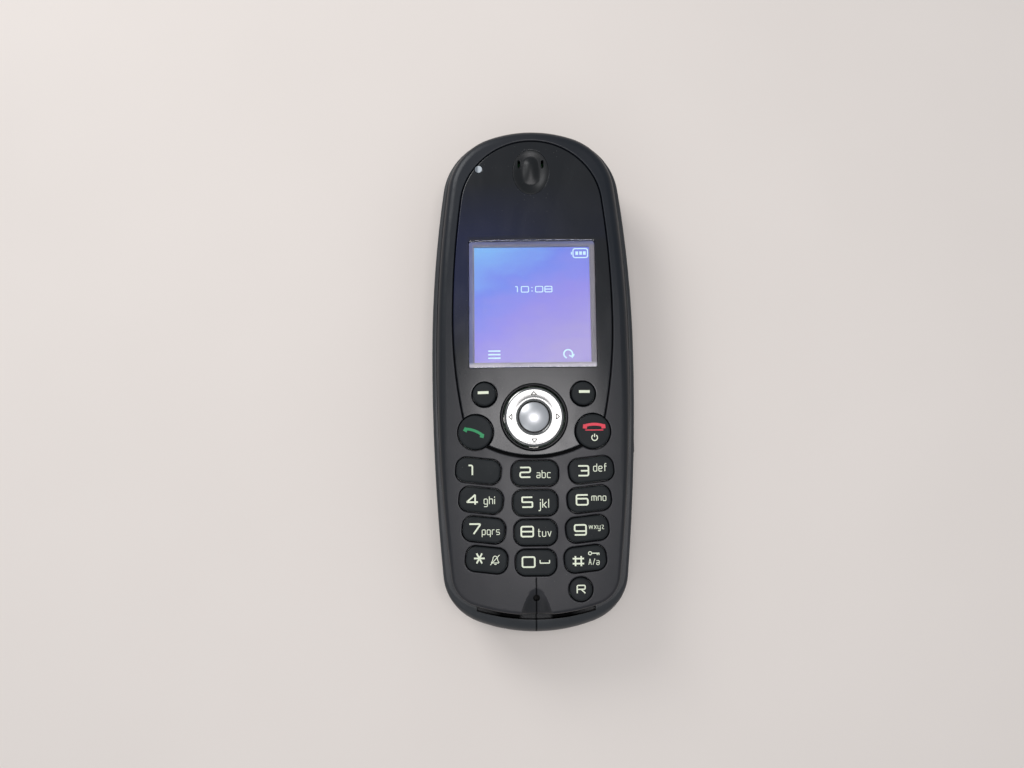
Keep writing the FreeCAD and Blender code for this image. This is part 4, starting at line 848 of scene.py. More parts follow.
def key_legends():
    """Each key's signs, placed from the middle of the key."""
    legends = {node: [digit(sign, *place)] for node, (sign, *place) in DIGIT_PLACES.items()}
    for node, (letters, *place) in WORD_PLACES.items():
        legends[node].append(word(letters, *place))
    legends["key_star"].append(bell(2.3, 0.0))
    legends["key_0"].append(space_bar(2.3, 0.2))
    legends["key_hash"].insert(1, lock_key(2.25, 1.5))
    legends["recall_key"] = [digit("R", 0.0, 0.1, 0.78)]
    legends["soft_key_left"] = [[([(-1.75, 0.4), (1.2, 0.45)], SOFT_MARK_WIDTH, False)]]
    legends["soft_key_right"] = [[([(-1.2, 0.45), (1.75, 0.45)], SOFT_MARK_WIDTH, False)]]
    legends["call_key"] = [handset(-0.3, 0.1, -21.0)]
    legends["end_key"] = [handset(0.25, 1.5, 0.0, 1.05), [([(-2.2, 0.3), (2.7, 0.3)], 0.28, False)]]
    return legends


# Shared effects of the finishes: how many grains, specks and patches they have to a metre

FINE_GRAIN = 5200.0
PIT_GRAIN = 3000.0
SLOW_GRAIN = 160.0
WEAR_PATCHES = 420.0
DUST_SPECKS = 900.0
DUST_PATCHES = 60.0
SMUDGE_PATCHES = 90.0


def socket(group, name, way, value=None):
    """A named float input or output of a shader node group."""
    made = group.interface.new_socket(name=name, in_out=way, socket_type="NodeSocketFloat")
    if value is not None:
        made.default_value = value


def new_group(name, inputs, outputs):
    """A shader node group with float inputs and outputs, and its two end nodes."""
    group = bpy.data.node_groups.new(name, "ShaderNodeTree")
    for label, value in inputs.items():
        socket(group, label, "INPUT", value)
    for label in outputs:
        socket(group, label, "OUTPUT")
    entry = group.nodes.new("NodeGroupInput")
    leave = group.nodes.new("NodeGroupOutput")
    return group, entry.outputs, leave.inputs


def add(tree, kind, settings=None, **inputs):
    """A node with its settings; an input given as a socket is linked, else it is a constant."""
    node = tree.nodes.new(kind)
    for name, value in (settings or {}).items():
        setattr(node, name, value)
    for name, value in inputs.items():
        target = node.inputs[int(name[1:])] if name[0] == "_" else node.inputs[name.replace("_", " ")]
        if isinstance(value, bpy.types.NodeSocket):
            tree.links.new(value, target)
        else:
            target.default_value = value
    return node


def math_of(tree, operation, first, second=0.0):
    return add(tree, "ShaderNodeMath", {"operation": operation}, _0=first, _1=second).outputs[0]


def both(tree, first, second):
    return math_of(tree, "MULTIPLY", first, second)


def spread(tree, value, low, high, to_low=0.0, to_high=1.0):
    """A value moved from one range to another, held at its ends."""
    return add(tree, "ShaderNodeMapRange", Value=value, From_Min=low, From_Max=high, To_Min=to_low,
               To_Max=to_high).outputs[0]


def fade(tree, place, ends, to_low=0.0, to_high=1.0):
    """A level that changes while a place in metres goes from one end in millimetres to the other."""
    return spread(tree, place, ends[0] * MM, ends[1] * MM, to_low, to_high)


def object_place(tree):
    """The place in the frame of the solids, in metres."""
    return add(tree, "ShaderNodeTexCoord").outputs["Object"]


def noise(tree, place, scale, detail, **more):
    return add(tree, "ShaderNodeTexNoise", Vector=place, Scale=scale, Detail=detail, **more).outputs[0]


def waves(tree, place, kind, way, scale, distortion=0.0):
    """Waves of brightness: bands along an axis, or rings about it."""
    settings = {"wave_type": kind, f"{kind.lower()}_direction": way}
    return add(tree, "ShaderNodeTexWave", settings, Vector=place, Scale=scale,
               Distortion=distortion).outputs["Fac"]


def grain_group():
    """Moulded grain: fine pits over a slow swell of the surface, with its height and tone."""
    group, given, out = new_group("MouldedGrain", {"Scale": 1.0, "Coarseness": 0.5}, ["Height", "Tone"])
    place = object_place(group)
    fine = noise(group, place, both(group, given["Scale"], FINE_GRAIN), 2.0, Roughness=0.6)
    pits = add(group, "ShaderNodeTexVoronoi", Vector=place, Scale=both(group, given["Scale"], PIT_GRAIN))
    slow = noise(group, place, both(group, given["Scale"], SLOW_GRAIN), 3.0)
    mixed = add(group, "ShaderNodeMix", {"data_type": "FLOAT"}, _0=given["Coarseness"], _2=fine,
                _3=pits.outputs["Distance"])
    group.links.new(mixed.outputs[0], out["Height"])
    group.links.new(spread(group, slow, 0.3, 0.7), out["Tone"])
    return group


def wear_group():
    """Rubbed edges: nearness to an edge broken up by noise."""
    group, given, out = new_group("RubbedEdges", {"Edge": 0.0, "Amount": 0.5}, ["Mask"])
    patches = spread(group, noise(group, object_place(group), WEAR_PATCHES, 4.0), 0.35, 0.75)
    broken = both(group, spread(group, given["Edge"], 0.55, 1.0), patches)
    group.links.new(both(group, broken, given["Amount"]), out["Mask"])
    return group


def dust_group():
    """Dust: sparse pale specks of uneven size."""
    group, given, out = new_group("DustSpecks", {"Amount": 0.3}, ["Mask"])
    place = object_place(group)
    specks = add(group, "ShaderNodeTexVoronoi", Vector=place, Scale=DUST_SPECKS, Randomness=1.0)
    patches = spread(group, noise(group, place, DUST_PATCHES, 2.0), 0.45, 0.65)
    thinned = both(group, spread(group, specks.outputs["Distance"], 0.09, 0.05), patches)
    group.links.new(both(group, thinned, given["Amount"]), out["Mask"])
    return group


def smudge_group():
    """Finger smudges: broad soft patches that change how sharp a gloss is."""
    group, given, out = new_group("Smudges", {"Amount": 0.1}, ["Change"])
    stretched = add(group, "ShaderNodeMapping", Vector=object_place(group), Scale=(1.0, 0.6, 1.0))
    patches = noise(group, stretched.outputs[0], SMUDGE_PATCHES, 5.0, Distortion=0.8)
    group.links.new(both(group, spread(group, patches, 0.4, 0.75), given["Amount"]), out["Change"])
    return group


GRAIN = grain_group()
WEAR = wear_group()
DUST = dust_group()
SMUDGE = smudge_group()


def colour(red, green, blue):
    """A linear colour from the usual 0 to 255 display values."""
    levels = np.array([red, green, blue]) / 255.0
    linear = np.where(levels <= 0.04045, levels / 12.92, ((levels + 0.055) / 1.055) ** 2.4)
    return (*linear.tolist(), 1.0)


# Where the tints of the finishes begin and end: places in millimetres in the frame of the solids
# Painted shade on the front: darker and bluer at the flanks and towards the earpiece, darker in the scoop
FLANK_PAINTED_SHADE = (19.0, 26.5)
UPPER_PAINTED_SHADE_ALONG = (-10.0, 35.0)
UPPER_PAINTED_SHADE_ASIDE = (0.0, 22.0)
SCOOP_PAINTED_SHADE_ASIDE = (4.8, 4.2)
SCOOP_PAINTED_SHADE_LEVEL = (23.8, 23.4)
SCOOP_PAINTED_SHADE_ALONG = (-57.5, -58.5)
LINE_ASIDE = (0.26, 0.16)
LINE_FADE = 0.4
FRONT_LINE_START = -55.2
REAR_LINE_START = -65.5
# Painted shade that blackens the groove before the chin: where it fades by reach, along Y, in height and
# across
GROOVE_PAINTED_SHADE_FADE = 0.1
GROOVE_PAINTED_SHADE_ALONG = (-50.0, -55.0)
GROOVE_PAINTED_SHADE_LEVEL = (19.5, 19.3)
GROOVE_PAINTED_SHADE_ENDS = (9.5, 15.8)
GROOVE_PAINTED_SHADE_MIDDLE = (3.6, 4.6)
# Painted blue light of the lit display on the fascia, beside and above the display
PAINTED_GLOW_BESIDE = (-15.0, -18.5)
PAINTED_GLOW_BESIDE_ALONG = (4.0, 22.0)
PAINTED_GLOW_ABOVE = (36.5, 38.5)
PAINTED_GLOW_ABOVE_ACROSS = (12.0, -12.0)
PAINTED_GLOW_TOP = (54.0, 38.0)
# Painted shade on the light guide's side away from the display
LIGHT_PAINTED_SHADE_SIDE = (-14.7, -15.2)
# Painted light of the display on its frame: blue at the top and left, pale at the foot
FRAME_PAINTED_GLOW_TOP = (35.5, 36.5)
FRAME_PAINTED_GLOW_LEFT = (-16.2, -16.8)
FRAME_PAINTED_LIGHT_FOOT = (2.6, 1.8)
PANEL_ALONG = (2.5, 35.5)
PANEL_ACROSS = (-16.5, 16.5)
WRAP_LENGTH = 22.0
WRAP_BAND = (16.5, 17.0)
DUST_COLOUR = colour(150, 148, 142)


def grouped(tree, group, **inputs):
    return add(tree, "ShaderNodeGroup", {"node_tree": group}, **inputs)


def mixed_colour(tree, factor, first, second):
    return add(tree, "ShaderNodeMix", {"data_type": "RGBA"}, _0=factor, _6=first, _7=second).outputs[2]


def bare_material(name):
    material = bpy.data.materials.new(name)
    material.use_nodes = True
    tree = material.node_tree
    return material, tree, tree.nodes["Principled BSDF"]


def moulded(name, base, shade, rough, grain=1.0, depth=0.02, coarse=0.5, wear=0.3, dust=0.3, smudge=0.1,
            coat=0.0, metal=0.0, specular=0.5):
    """Moulded plastic, rubber or metal: base colour drifting towards a shade, rubbed edges, dust,
    smudges in the gloss and a moulded grain. Both colours are 0 to 255 display values."""
    material, tree, surface = bare_material(name)
    base, shade = colour(*base), colour(*shade)
    grains = grouped(tree, GRAIN, Scale=grain, Coarseness=coarse)
    edge = add(tree, "ShaderNodeAttribute", {"attribute_name": "edge"})
    rubbed = grouped(tree, WEAR, Edge=edge.outputs["Fac"], Amount=wear)
    specks = grouped(tree, DUST, Amount=dust)
    smudges = grouped(tree, SMUDGE, Amount=smudge)
    drift = mixed_colour(tree, grains.outputs["Tone"], base, shade)
    lighter = tuple(min(level * 2.2 + 0.02, 1.0) for level in base[:3]) + (1.0,)
    rubbed_colour = mixed_colour(tree, rubbed.outputs["Mask"], drift, lighter)
    dusty = mixed_colour(tree, specks.outputs["Mask"], rubbed_colour, DUST_COLOUR)
    tree.links.new(dusty, surface.inputs["Base Color"])
    matt = math_of(tree, "ADD", smudges.outputs["Change"], rough)
    tree.links.new(math_of(tree, "ADD", matt, both(tree, specks.outputs["Mask"], 0.4)),
                   surface.inputs["Roughness"])
    surface.inputs["Metallic"].default_value = metal
    surface.inputs["Specular IOR Level"].default_value = specular
    surface.inputs["Coat Weight"].default_value = coat
    surface.inputs["Coat Roughness"].default_value = 0.04
    bump = add(tree, "ShaderNodeBump", Strength=1.0, Distance=depth * MM, Height=grains.outputs["Height"])
    tree.links.new(bump.outputs[0], surface.inputs["Normal"])
    return material


def tint_base(material, mask, tint):
    """Mix a tint of 0 to 255 display values over the base colour of a finish by a mask."""
    tree = material.node_tree
    target = tree.nodes["Principled BSDF"].inputs["Base Color"]
    tree.links.new(mixed_colour(tree, mask, target.links[0].from_socket, colour(*tint)), target)


def dull(material, mask):
    """Take the gloss away by a mask in the finish's own node tree."""
    tree = material.node_tree
    target = tree.nodes["Principled BSDF"].inputs["Specular IOR Level"]
    level = target.links[0].from_socket if target.links else target.default_value
    tree.links.new(both(tree, math_of(tree, "SUBTRACT", 1.0, mask), level), target)


def places(material):
    """Sockets of X, Y and Z in metres in the frame of the solids."""
    tree = material.node_tree
    apart = add(tree, "ShaderNodeSeparateXYZ", Vector=object_place(tree))
    return tree, apart.outputs["X"], apart.outputs["Y"], apart.outputs["Z"]


def draw_parting_line(material, start):
    """A fine dark line along the middle, from a place on Y down to the chin's end."""
    tree, across, along, _ = places(material)
    on_line = fade(tree, math_of(tree, "ABSOLUTE", across), LINE_ASIDE)
    line = both(tree, on_line, fade(tree, along, (start, start - LINE_FADE), 0.0, 0.85))
    tint_base(material, line, (6, 6, 8))
    dull(material, line)


def front_plastic():
    """Satin front: a dark violet grey with painted shade: darker and bluer at the flanks and
    towards the earpiece, and darker in the scoop. A fine parting line runs from the zero key
    through the microphone to the chin."""
    material = moulded("front_plastic", (31, 31, 35), (35, 34, 38), 0.34, depth=0.012, wear=0.3,
                       specular=0.37)
    tree, across, along, high = places(material)
    aside = math_of(tree, "ABSOLUTE", across)
    # Painted shade: the flanks darker and bluer
    tint_base(material, fade(tree, aside, FLANK_PAINTED_SHADE, 0.0, 0.75), (14, 19, 24))
    # Painted shade: the front darker and bluer towards the earpiece, more so towards the sides
    upper = both(tree, fade(tree, along, UPPER_PAINTED_SHADE_ALONG), fade(tree, aside, UPPER_PAINTED_SHADE_ASIDE, 0.45, 0.85))
    tint_base(material, upper, (4, 13, 24))
    # Painted shade: darker in the scoop
    scoop_painted_shade = both(tree, fade(tree, aside, SCOOP_PAINTED_SHADE_ASIDE), fade(tree, high, SCOOP_PAINTED_SHADE_LEVEL))
    tint_base(material, both(tree, scoop_painted_shade, fade(tree, along, SCOOP_PAINTED_SHADE_ALONG, 0.0, 0.55)), (14, 14, 16))
    draw_parting_line(material, FRONT_LINE_START)
    return material


def rear_plastic():
    """Dark rear moulding with painted shade that makes the groove before the chin black and dull,
    and the parting line over the chin's rim. The groove's outer edge is a circle about the front's lower
    arc."""
    material = moulded("rear_plastic", (41, 43, 46), (46, 48, 51), 0.38, depth=0.015, wear=0.2,
                       specular=0.36)
    tree, across, along, high = places(material)
    down = math_of(tree, "ADD", along, -(FRONT_BOTTOM_END + FRONT_BOTTOM_ARC) * MM)
    reach = math_of(tree, "SQRT", math_of(tree, "ADD", both(tree, across, across), both(tree, down, down)))
    edge = FRONT_BOTTOM_ARC + GROOVE_WIDTH
    groove = both(tree, fade(tree, reach, (edge, edge - GROOVE_PAINTED_SHADE_FADE)), fade(tree, along, GROOVE_PAINTED_SHADE_ALONG))
    groove = both(tree, groove, fade(tree, high, GROOVE_PAINTED_SHADE_LEVEL))
    aside = math_of(tree, "ABSOLUTE", across)
    # Painted shade: the groove tinted black and its gloss taken away, weaker under the scoop and towards
    # the ends
    groove_painted_shade = both(tree, groove, both(tree, fade(tree, aside, GROOVE_PAINTED_SHADE_ENDS, 0.95, 0.15),
                                    fade(tree, aside, GROOVE_PAINTED_SHADE_MIDDLE, 0.25, 1.0)))
    tint_base(material, groove_painted_shade, (3, 3, 4))
    dull(material, groove_painted_shade)
    draw_parting_line(material, REAR_LINE_START)
    return material


def fascia_gloss():
    """Glossy plate with the painted blue light of the lit display beside and above it."""
    material = moulded("fascia_gloss", (10, 12, 17), (13, 15, 20), 0.2, grain=0.4, depth=0.002, wear=0.15,
                       specular=0.47)
    tree, across, along, _ = places(material)
    # Painted light: the display's blue glow tinted into the fascia's base colour
    beside = both(tree, fade(tree, across, PAINTED_GLOW_BESIDE), fade(tree, along, PAINTED_GLOW_BESIDE_ALONG))
    above = both(tree, fade(tree, along, PAINTED_GLOW_ABOVE), fade(tree, across, PAINTED_GLOW_ABOVE_ACROSS, 0.2, 1.0))
    painted_glow = both(tree, math_of(tree, "MAXIMUM", beside, above), 0.6)
    tint_base(material, both(tree, painted_glow, fade(tree, along, PAINTED_GLOW_TOP)), (18, 26, 66))
    return material


def light_guide():
    """Milky light guide with painted shade on its side away from the display."""
    material = moulded("light_guide", (182, 188, 194), (194, 200, 204), 0.3, depth=0.004, coat=0.3)
    tree, across, _, _ = places(material)
    tint_base(material, fade(tree, across, LIGHT_PAINTED_SHADE_SIDE, 0.0, 0.8), (66, 74, 84))
    return material


def frame_grey():
    """Light grey display frame with the display's light painted on it: bluer along its upper and left
    sides and pale at its foot.
    """
    material = moulded("frame_grey", (150, 144, 152), (160, 154, 162), 0.4, depth=0.01)
    tree, across, along, _ = places(material)
    # Painted light: blue glow of the display along the frame's upper and left sides
    blue = math_of(tree, "MAXIMUM", fade(tree, along, FRAME_PAINTED_GLOW_TOP), fade(tree, across, FRAME_PAINTED_GLOW_LEFT))
    tint_base(material, both(tree, blue, 0.6), (106, 122, 206))
    # Painted light: the frame's foot made pale
    tint_base(material, fade(tree, along, FRAME_PAINTED_LIGHT_FOOT, 0.0, 0.9), (252, 246, 255))
    return material


def glass():
    """Clear window: smooth, with faint smudges."""
    material, tree, surface = bare_material("window_clear")
    surface.inputs["Base Color"].default_value = (1.0, 1.0, 1.0, 1.0)
    surface.inputs["IOR"].default_value = 1.45
    surface.inputs["Transmission Weight"].default_value = 1.0
    smudges = grouped(tree, SMUDGE, Amount=0.03)
    tree.links.new(math_of(tree, "ADD", smudges.outputs["Change"], 0.01), surface.inputs["Roughness"])
    return material


def lit_panel():
    """Lit display: a sky of soft bands, pale blue at the upper left and violet below, in fine dots."""
    material, tree, surface = bare_material("panel_lit")
    place = object_place(tree)
    parts = add(tree, "ShaderNodeSeparateXYZ", Vector=place)
    up = fade(tree, parts.outputs["Y"], PANEL_ALONG)
    right = fade(tree, parts.outputs["X"], PANEL_ACROSS)
    stretched = add(tree, "ShaderNodeMapping", Vector=place, Scale=(1.0, 2.4, 1.0)).outputs[0]
    clouds = noise(tree, stretched, 75.0, 4.0, Roughness=0.55)
    slant = math_of(tree, "SUBTRACT", both(tree, right, 0.55), up)
    level = math_of(tree, "ADD", slant, both(tree, clouds, 0.5))
    sky = add(tree, "ShaderNodeValToRGB", Fac=spread(tree, level, -0.75, 0.55))
    stops = sky.color_ramp.elements
    stops[0].position, stops[0].color = 0.0, colour(128, 190, 255)
    stops[1].position, stops[1].color = 1.0, colour(172, 160, 226)
    stops.new(0.35).color = colour(118, 140, 246)
    stops.new(0.65).color = colour(150, 142, 240)
    columns, rows = (waves(tree, place, "BANDS", way, 1600.0) for way in "XY")
    dots = spread(tree, math_of(tree, "MINIMUM", columns, rows), 0.0, 1.0, 0.0, 0.12)
    tree.links.new(mixed_colour(tree, dots, sky.outputs[0], colour(70, 70, 150)),
                   surface.inputs["Emission Color"])
    surface.inputs["Emission Strength"].default_value = 0.92
    surface.inputs["Base Color"].default_value = colour(20, 20, 34)
    surface.inputs["Roughness"].default_value = 0.35
    return material


def screen_glow():
    """Pale blue light of the signs on the display, with a trace of flicker."""
    material, tree, surface = bare_material("screen_sign")
    tint = colour(206, 238, 255)
    dimmed = tuple(level * 0.86 for level in tint[:3]) + (1.0,)
    flicker = noise(tree, object_place(tree), 900.0, 1.0)
    tree.links.new(mixed_colour(tree, flicker, tint, dimmed), surface.inputs["Emission Color"])
    surface.inputs["Emission Strength"].default_value = 1.15
    surface.inputs["Base Color"].default_value = colour(30, 30, 30)
    return material


def chrome():
    """Bright plated plastic with hair-fine turning rings and faint smudges."""
    material, tree, surface = bare_material("ring_chrome")
    centred = add(tree, "ShaderNodeMapping", {"vector_type": "POINT"}, Vector=object_place(tree),
                  Location=(0.0, -NAV_ROW * MM, 0.0))
    rings = waves(tree, centred.outputs[0], "RINGS", "Z", 1800.0, 0.6)
    surface.inputs["Base Color"].default_value = (0.22, 0.22, 0.216, 1.0)
    surface.inputs["Metallic"].default_value = 1.0
    smudges = grouped(tree, SMUDGE, Amount=0.1)
    tree.links.new(math_of(tree, "ADD", smudges.outputs["Change"], 0.12), surface.inputs["Roughness"])
    bump = add(tree, "ShaderNodeBump", Strength=0.4, Distance=0.002 * MM, Height=rings)
    tree.links.new(bump.outputs[0], surface.inputs["Normal"])
    return material


def circuit_board():
    """Green lacquer over fine tracks: narrow lines along X and Y between pads."""
    material = moulded("board_green", (20, 74, 40), (28, 92, 52), 0.32, coarse=0.2, wear=0.0)
    tree = material.node_tree
    place = object_place(tree)
    lines = math_of(tree, "MAXIMUM", waves(tree, place, "BANDS", "X", 420.0),
                    waves(tree, place, "BANDS", "Y", 260.0))
    tint_base(material, spread(tree, lines, 0.9, 0.96, 0.0, 0.5), (70, 140, 80))
    return material


def cell_wrap():
    """Printed sleeve of a cell: a light end band and a dark body along Y."""
    material = moulded("cell_wrap", (30, 60, 120), (36, 70, 132), 0.3, wear=0.1)
    tree, _, along, _ = places(material)
    bands = math_of(tree, "PINGPONG", along, WRAP_LENGTH * MM)
    tint_base(material, fade(tree, bands, WRAP_BAND), (205, 205, 200))
    return material


def floor_paint():
    """Plain pale floor with a trace of unevenness."""
    material, tree, surface = bare_material("pale_floor")
    slow = noise(tree, object_place(tree), 14.0, 3.0)
    tree.links.new(mixed_colour(tree, slow, colour(226, 217, 210), colour(232, 223, 216)),
                   surface.inputs["Base Color"])
    surface.inputs["Roughness"].default_value = 0.8
    return material


METAL = {"metal": 1.0}
PRINT = {"depth": 0.004, "wear": 0.0, "dust": 0.1}
REAR_PLASTIC = rear_plastic()
FRONT_PLASTIC = front_plastic()
SIDE_RUBBER = moulded("side_rubber", (16, 17, 18), (20, 21, 22), 0.6, specular=0.2)
FASCIA_GLOSS = fascia_gloss()
# Painted shade: black on the deck under the fascia, standing in for the shade in the groove round it
DECK_PAINTED_SHADE = moulded("deck_painted_shade", (5, 5, 6), (8, 8, 9), 0.7, depth=0.01, dust=0.05, specular=0.1)
EAR_PLASTIC = moulded("ear_plastic", (9, 11, 14), (12, 14, 17), 0.34, depth=0.008, dust=0.1, specular=0.34)
KEY_PLASTIC = moulded("key_plastic", (24, 27, 29), (29, 32, 34), 0.58, grain=0.8, depth=0.03, coarse=0.7,
                      specular=0.25)
BEZEL_GLOSS = moulded("bezel_gloss", (8, 9, 11), (11, 12, 14), 0.2, grain=0.4, depth=0.002, dust=0.1,
                      specular=0.16)
CHROME = chrome()
DOME_CHROME = moulded("dome_grey", (198, 199, 202), (208, 209, 211), 0.34, grain=0.5, depth=0.002,
                      coarse=0.2, wear=0.0, dust=0.1, metal=1.0)
LEGEND_WHITE = moulded("legend_cream", (232, 236, 212), (222, 228, 204), 0.5, **PRINT)
LEGEND_GREEN = moulded("legend_green", (32, 142, 86), (26, 128, 76), 0.5, **PRINT)
LEGEND_RED = moulded("legend_red", (226, 62, 80), (212, 54, 70), 0.5, **PRINT)
LEGEND_GREY = moulded("legend_grey", (96, 93, 88), (84, 81, 77), 0.4, depth=0.002, wear=0.0, dust=0.0)
WINDOW_CLEAR = glass()
SCREEN_SIGN = screen_glow()
CELL_WRAP = cell_wrap()

# Finishes of the inner pieces: name, base, shade, roughness, and what else sets them apart
INNER_FINISHES = {
    "nav_pivot": ("pivot_grey", (120, 120, 118), (132, 132, 130), 0.5, {}),
    "keypad_mat": ("mat_rubber", (176, 178, 176), (186, 188, 186), 0.62, {"depth": 0.03}),
    "microphone_seal": ("seal_rubber", (34, 34, 36), (40, 40, 42), 0.66, {"depth": 0.03}),
    "key_domes": ("dome_steel", (188, 186, 180), (200, 198, 192), 0.24, METAL),
    "shield_can": ("shield_tin", (178, 178, 174), (190, 190, 186), 0.3, METAL),
    "microphone": ("capsule_felt", (20, 20, 21), (26, 26, 27), 0.8, {"dust": 0.1}),
    "key_lights": ("lamp_yellow", (226, 206, 130), (236, 218, 150), 0.3, {"coat": 0.5}),
    "display_flex": ("flex_amber", (176, 98, 34), (190, 112, 44), 0.34, {"depth": 0.004}),
    "earpiece_speaker": ("speaker_black", (34, 34, 36), (44, 44, 46), 0.4, {"depth": 0.01}),
    "ringer_speaker": ("ringer_black", (40, 40, 42), (52, 52, 54), 0.44, {}),
    "board_chips": ("chip_black", (28, 28, 30), (34, 34, 36), 0.5, {"depth": 0.008}),
    "side_switch": ("switch_black", (30, 30, 32), (38, 38, 40), 0.5, {"depth": 0.008}),
    "antenna": ("antenna_bronze", (186, 150, 92), (198, 164, 106), 0.26, METAL),
    "case_screws": ("screw_steel", (150, 150, 150), (164, 164, 164), 0.3, METAL),
    "battery_springs": ("spring_steel", (196, 194, 188), (206, 204, 198), 0.22, METAL),
    "battery_plates": ("plate_steel", (192, 190, 184), (204, 202, 196), 0.24, METAL),
    "charge_contacts": ("contact_gold", (212, 176, 98), (222, 188, 112), 0.2, METAL),
}
NODE_FINISHES = {node: moulded(*looks, **more) for node, (*looks, more) in INNER_FINISHES.items()}
NODE_FINISHES.update({
    "rear_shell": REAR_PLASTIC, "battery_cover": REAR_PLASTIC, "side_key": SIDE_RUBBER,
    "front_shell": FRONT_PLASTIC, "fascia": FASCIA_GLOSS, "earpiece_insert": EAR_PLASTIC,
    "display_window": WINDOW_CLEAR, "display_panel": lit_panel(), "display_frame": frame_grey(),
    "status_light": light_guide(), "nav_bezel": BEZEL_GLOSS, "nav_ring": CHROME,
    "nav_centre_key": DOME_CHROME, "main_board": circuit_board(), "battery_cell_left": CELL_WRAP,
    "battery_cell_right": CELL_WRAP,
})


def dress_nodes():
    """Every solid of the frame gets its own finish, also those that no view shows."""
    for node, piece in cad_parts.items():
        material = NODE_FINISHES.get(node, KEY_PLASTIC)
        if not piece.material_slots:
            piece.data.materials.append(material)
        for place in piece.material_slots:
            place.material = material


# Pieces


def front_shell():
    """The front moulding with its scoop and openings, and the deck under the fascia, painted black as
    shade in the groove.
    """
    navigation_opening = Disc(0.0, NAV_ROW, NAV_OPENING)
    openings = [GROOVE, *KEYS.values(), navigation_opening, LIGHT_OPENING, Disc(0.0, MIC_ROW, MIC_HOLE)]
    rounds = [GROOVE_ROUND] + [OPENING_ROUND] * (len(KEYS) + 1) + [LIGHT_EDGE_ROUND, MIC_EDGE_ROUND]
    piece = sheet_piece("front_cover", FRONT, openings, front_top, front_under, "handset",
                        (FRONT_PLASTIC, "front_plastic"), FRONT_EDGE_ROUND, rounds, PLATE_SPACING,
                        more_rings=FRONT_RINGS, creases=[scoop_edge()],
                        fine=(SCOOP_SPACING, SCOOP_LOW_CORNER, SCOOP_HIGH_CORNER),
                        smooth=FRONT_SMOOTH_ANGLE, round_at=front_round)
    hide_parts("front_shell")
    under_ear = Oval(0.0, EAR_PLACE, EAR_HALF_WIDTH - EAR_LEDGE, EAR_HALF_LENGTH - EAR_LEDGE)
    deck_openings = [under_ear, WINDOW, LIGHT_OPENING, navigation_opening, *PLATE_KEYS]
    deck = sheet_piece("front_deck", ShrunkOutline(GROOVE, -DECK_GROWTH), deck_openings,
                       lambda x, y: fascia_under(x, y) - DECK_DROP, lambda x, y: crown(x) - FRONT_WALL,
                       "handset", (DECK_PAINTED_SHADE, "front_plastic"), DECK_ROUND,
                       [DECK_ROUND] * len(deck_openings), DECK_SPACING)
    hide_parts("front_shell")


def window():
    """Clear sheet over the display, crowned like the fascia round it."""
    pane = sheet_piece("window_pane", ShrunkOutline(WINDOW, EAR_GAP), [], fascia_top, fascia_under,
                       "handset", (WINDOW_CLEAR, "window_clear"), WINDOW_OUTER_ROUND, [], WINDOW_SPACING)
    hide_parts("display_window")


def fascia():
    """Glossy plate in the front's recess, cut round by the keys that reach into it."""
    openings = [WINDOW, EARPIECE, LIGHT_OPENING, Disc(0.0, NAV_ROW, BEZEL_RADIUS + EAR_GAP), *PLATE_KEYS]
    rounds = [WINDOW_EDGE_ROUND, EAR_EDGE_ROUND, LIGHT_EDGE_ROUND, BEZEL_EDGE_ROUND]
    rounds += [OPENING_ROUND] * len(PLATE_KEYS)
    piece = sheet_piece("fascia_plate", ShrunkOutline(FASCIA, FASCIA_GAP), openings, fascia_top,
                        fascia_under, "handset", (FASCIA_GLOSS, "fascia_gloss"), FASCIA_EDGE_ROUND, rounds,
                        PLATE_SPACING)
    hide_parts("fascia")


def key_caps():
    """Every key's cap, from its pillow-shaped top down to its flange."""
    for node, opening in KEYS.items():
        piece = sheet_piece(f"{node}_cap", ShrunkOutline(opening, KEY_GAP), [], key_top(opening),
                            lambda x, y: np.full(np.shape(x), FLANGE_LEVEL), node,
                            (KEY_PLASTIC, "key_plastic"), KEY_EDGE_ROUND, [], KEY_SPACING)
        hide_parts(node)


def key_signs():
    """The print on every key, and the power sign under the receiver of the end key."""
    for node, groups in key_legends().items():
        opening = KEYS[node]
        material = {"call_key": LEGEND_GREEN, "end_key": LEGEND_RED}.get(node, LEGEND_WHITE)
        strokes = [stroke for group in groups for stroke in moved(group, opening.middle)]
        printed(f"{node}_sign", strokes, key_top(opening), node, (material, "key_plastic"))
    opening = KEYS["end_key"]
    printed("end_key_power_sign", moved(power_sign(*POWER_SIGN_PLACE), opening.middle),
            key_top(opening), "end_key", (LEGEND_WHITE, "key_plastic"))


def ring_height(x, y):
    """Height of the dished ring's face: a shallow half wave between its lips."""
    start, end = NAV_FACE
    across = np.clip((np.hypot(x, y - NAV_ROW) - start) / (end - start), 0.0, 1.0)
    return NAV_TOP - NAV_DISH * np.sin(math.pi * across)


def nav_rim(low):
    """Black bezel: a low ring with soft corners."""
    profile = soft_corners([(BEZEL_BORE, low), (BEZEL_RADIUS, low), (BEZEL_RADIUS, BEZEL_TOP),
                            (BEZEL_BORE, BEZEL_TOP)], BEZEL_CORNER, 6, True)
    piece = turned_piece("nav_rim", profile[::-1], 0.0, NAV_ROW, "handset", (BEZEL_GLOSS, "bezel_gloss"))
    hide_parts("nav_bezel")


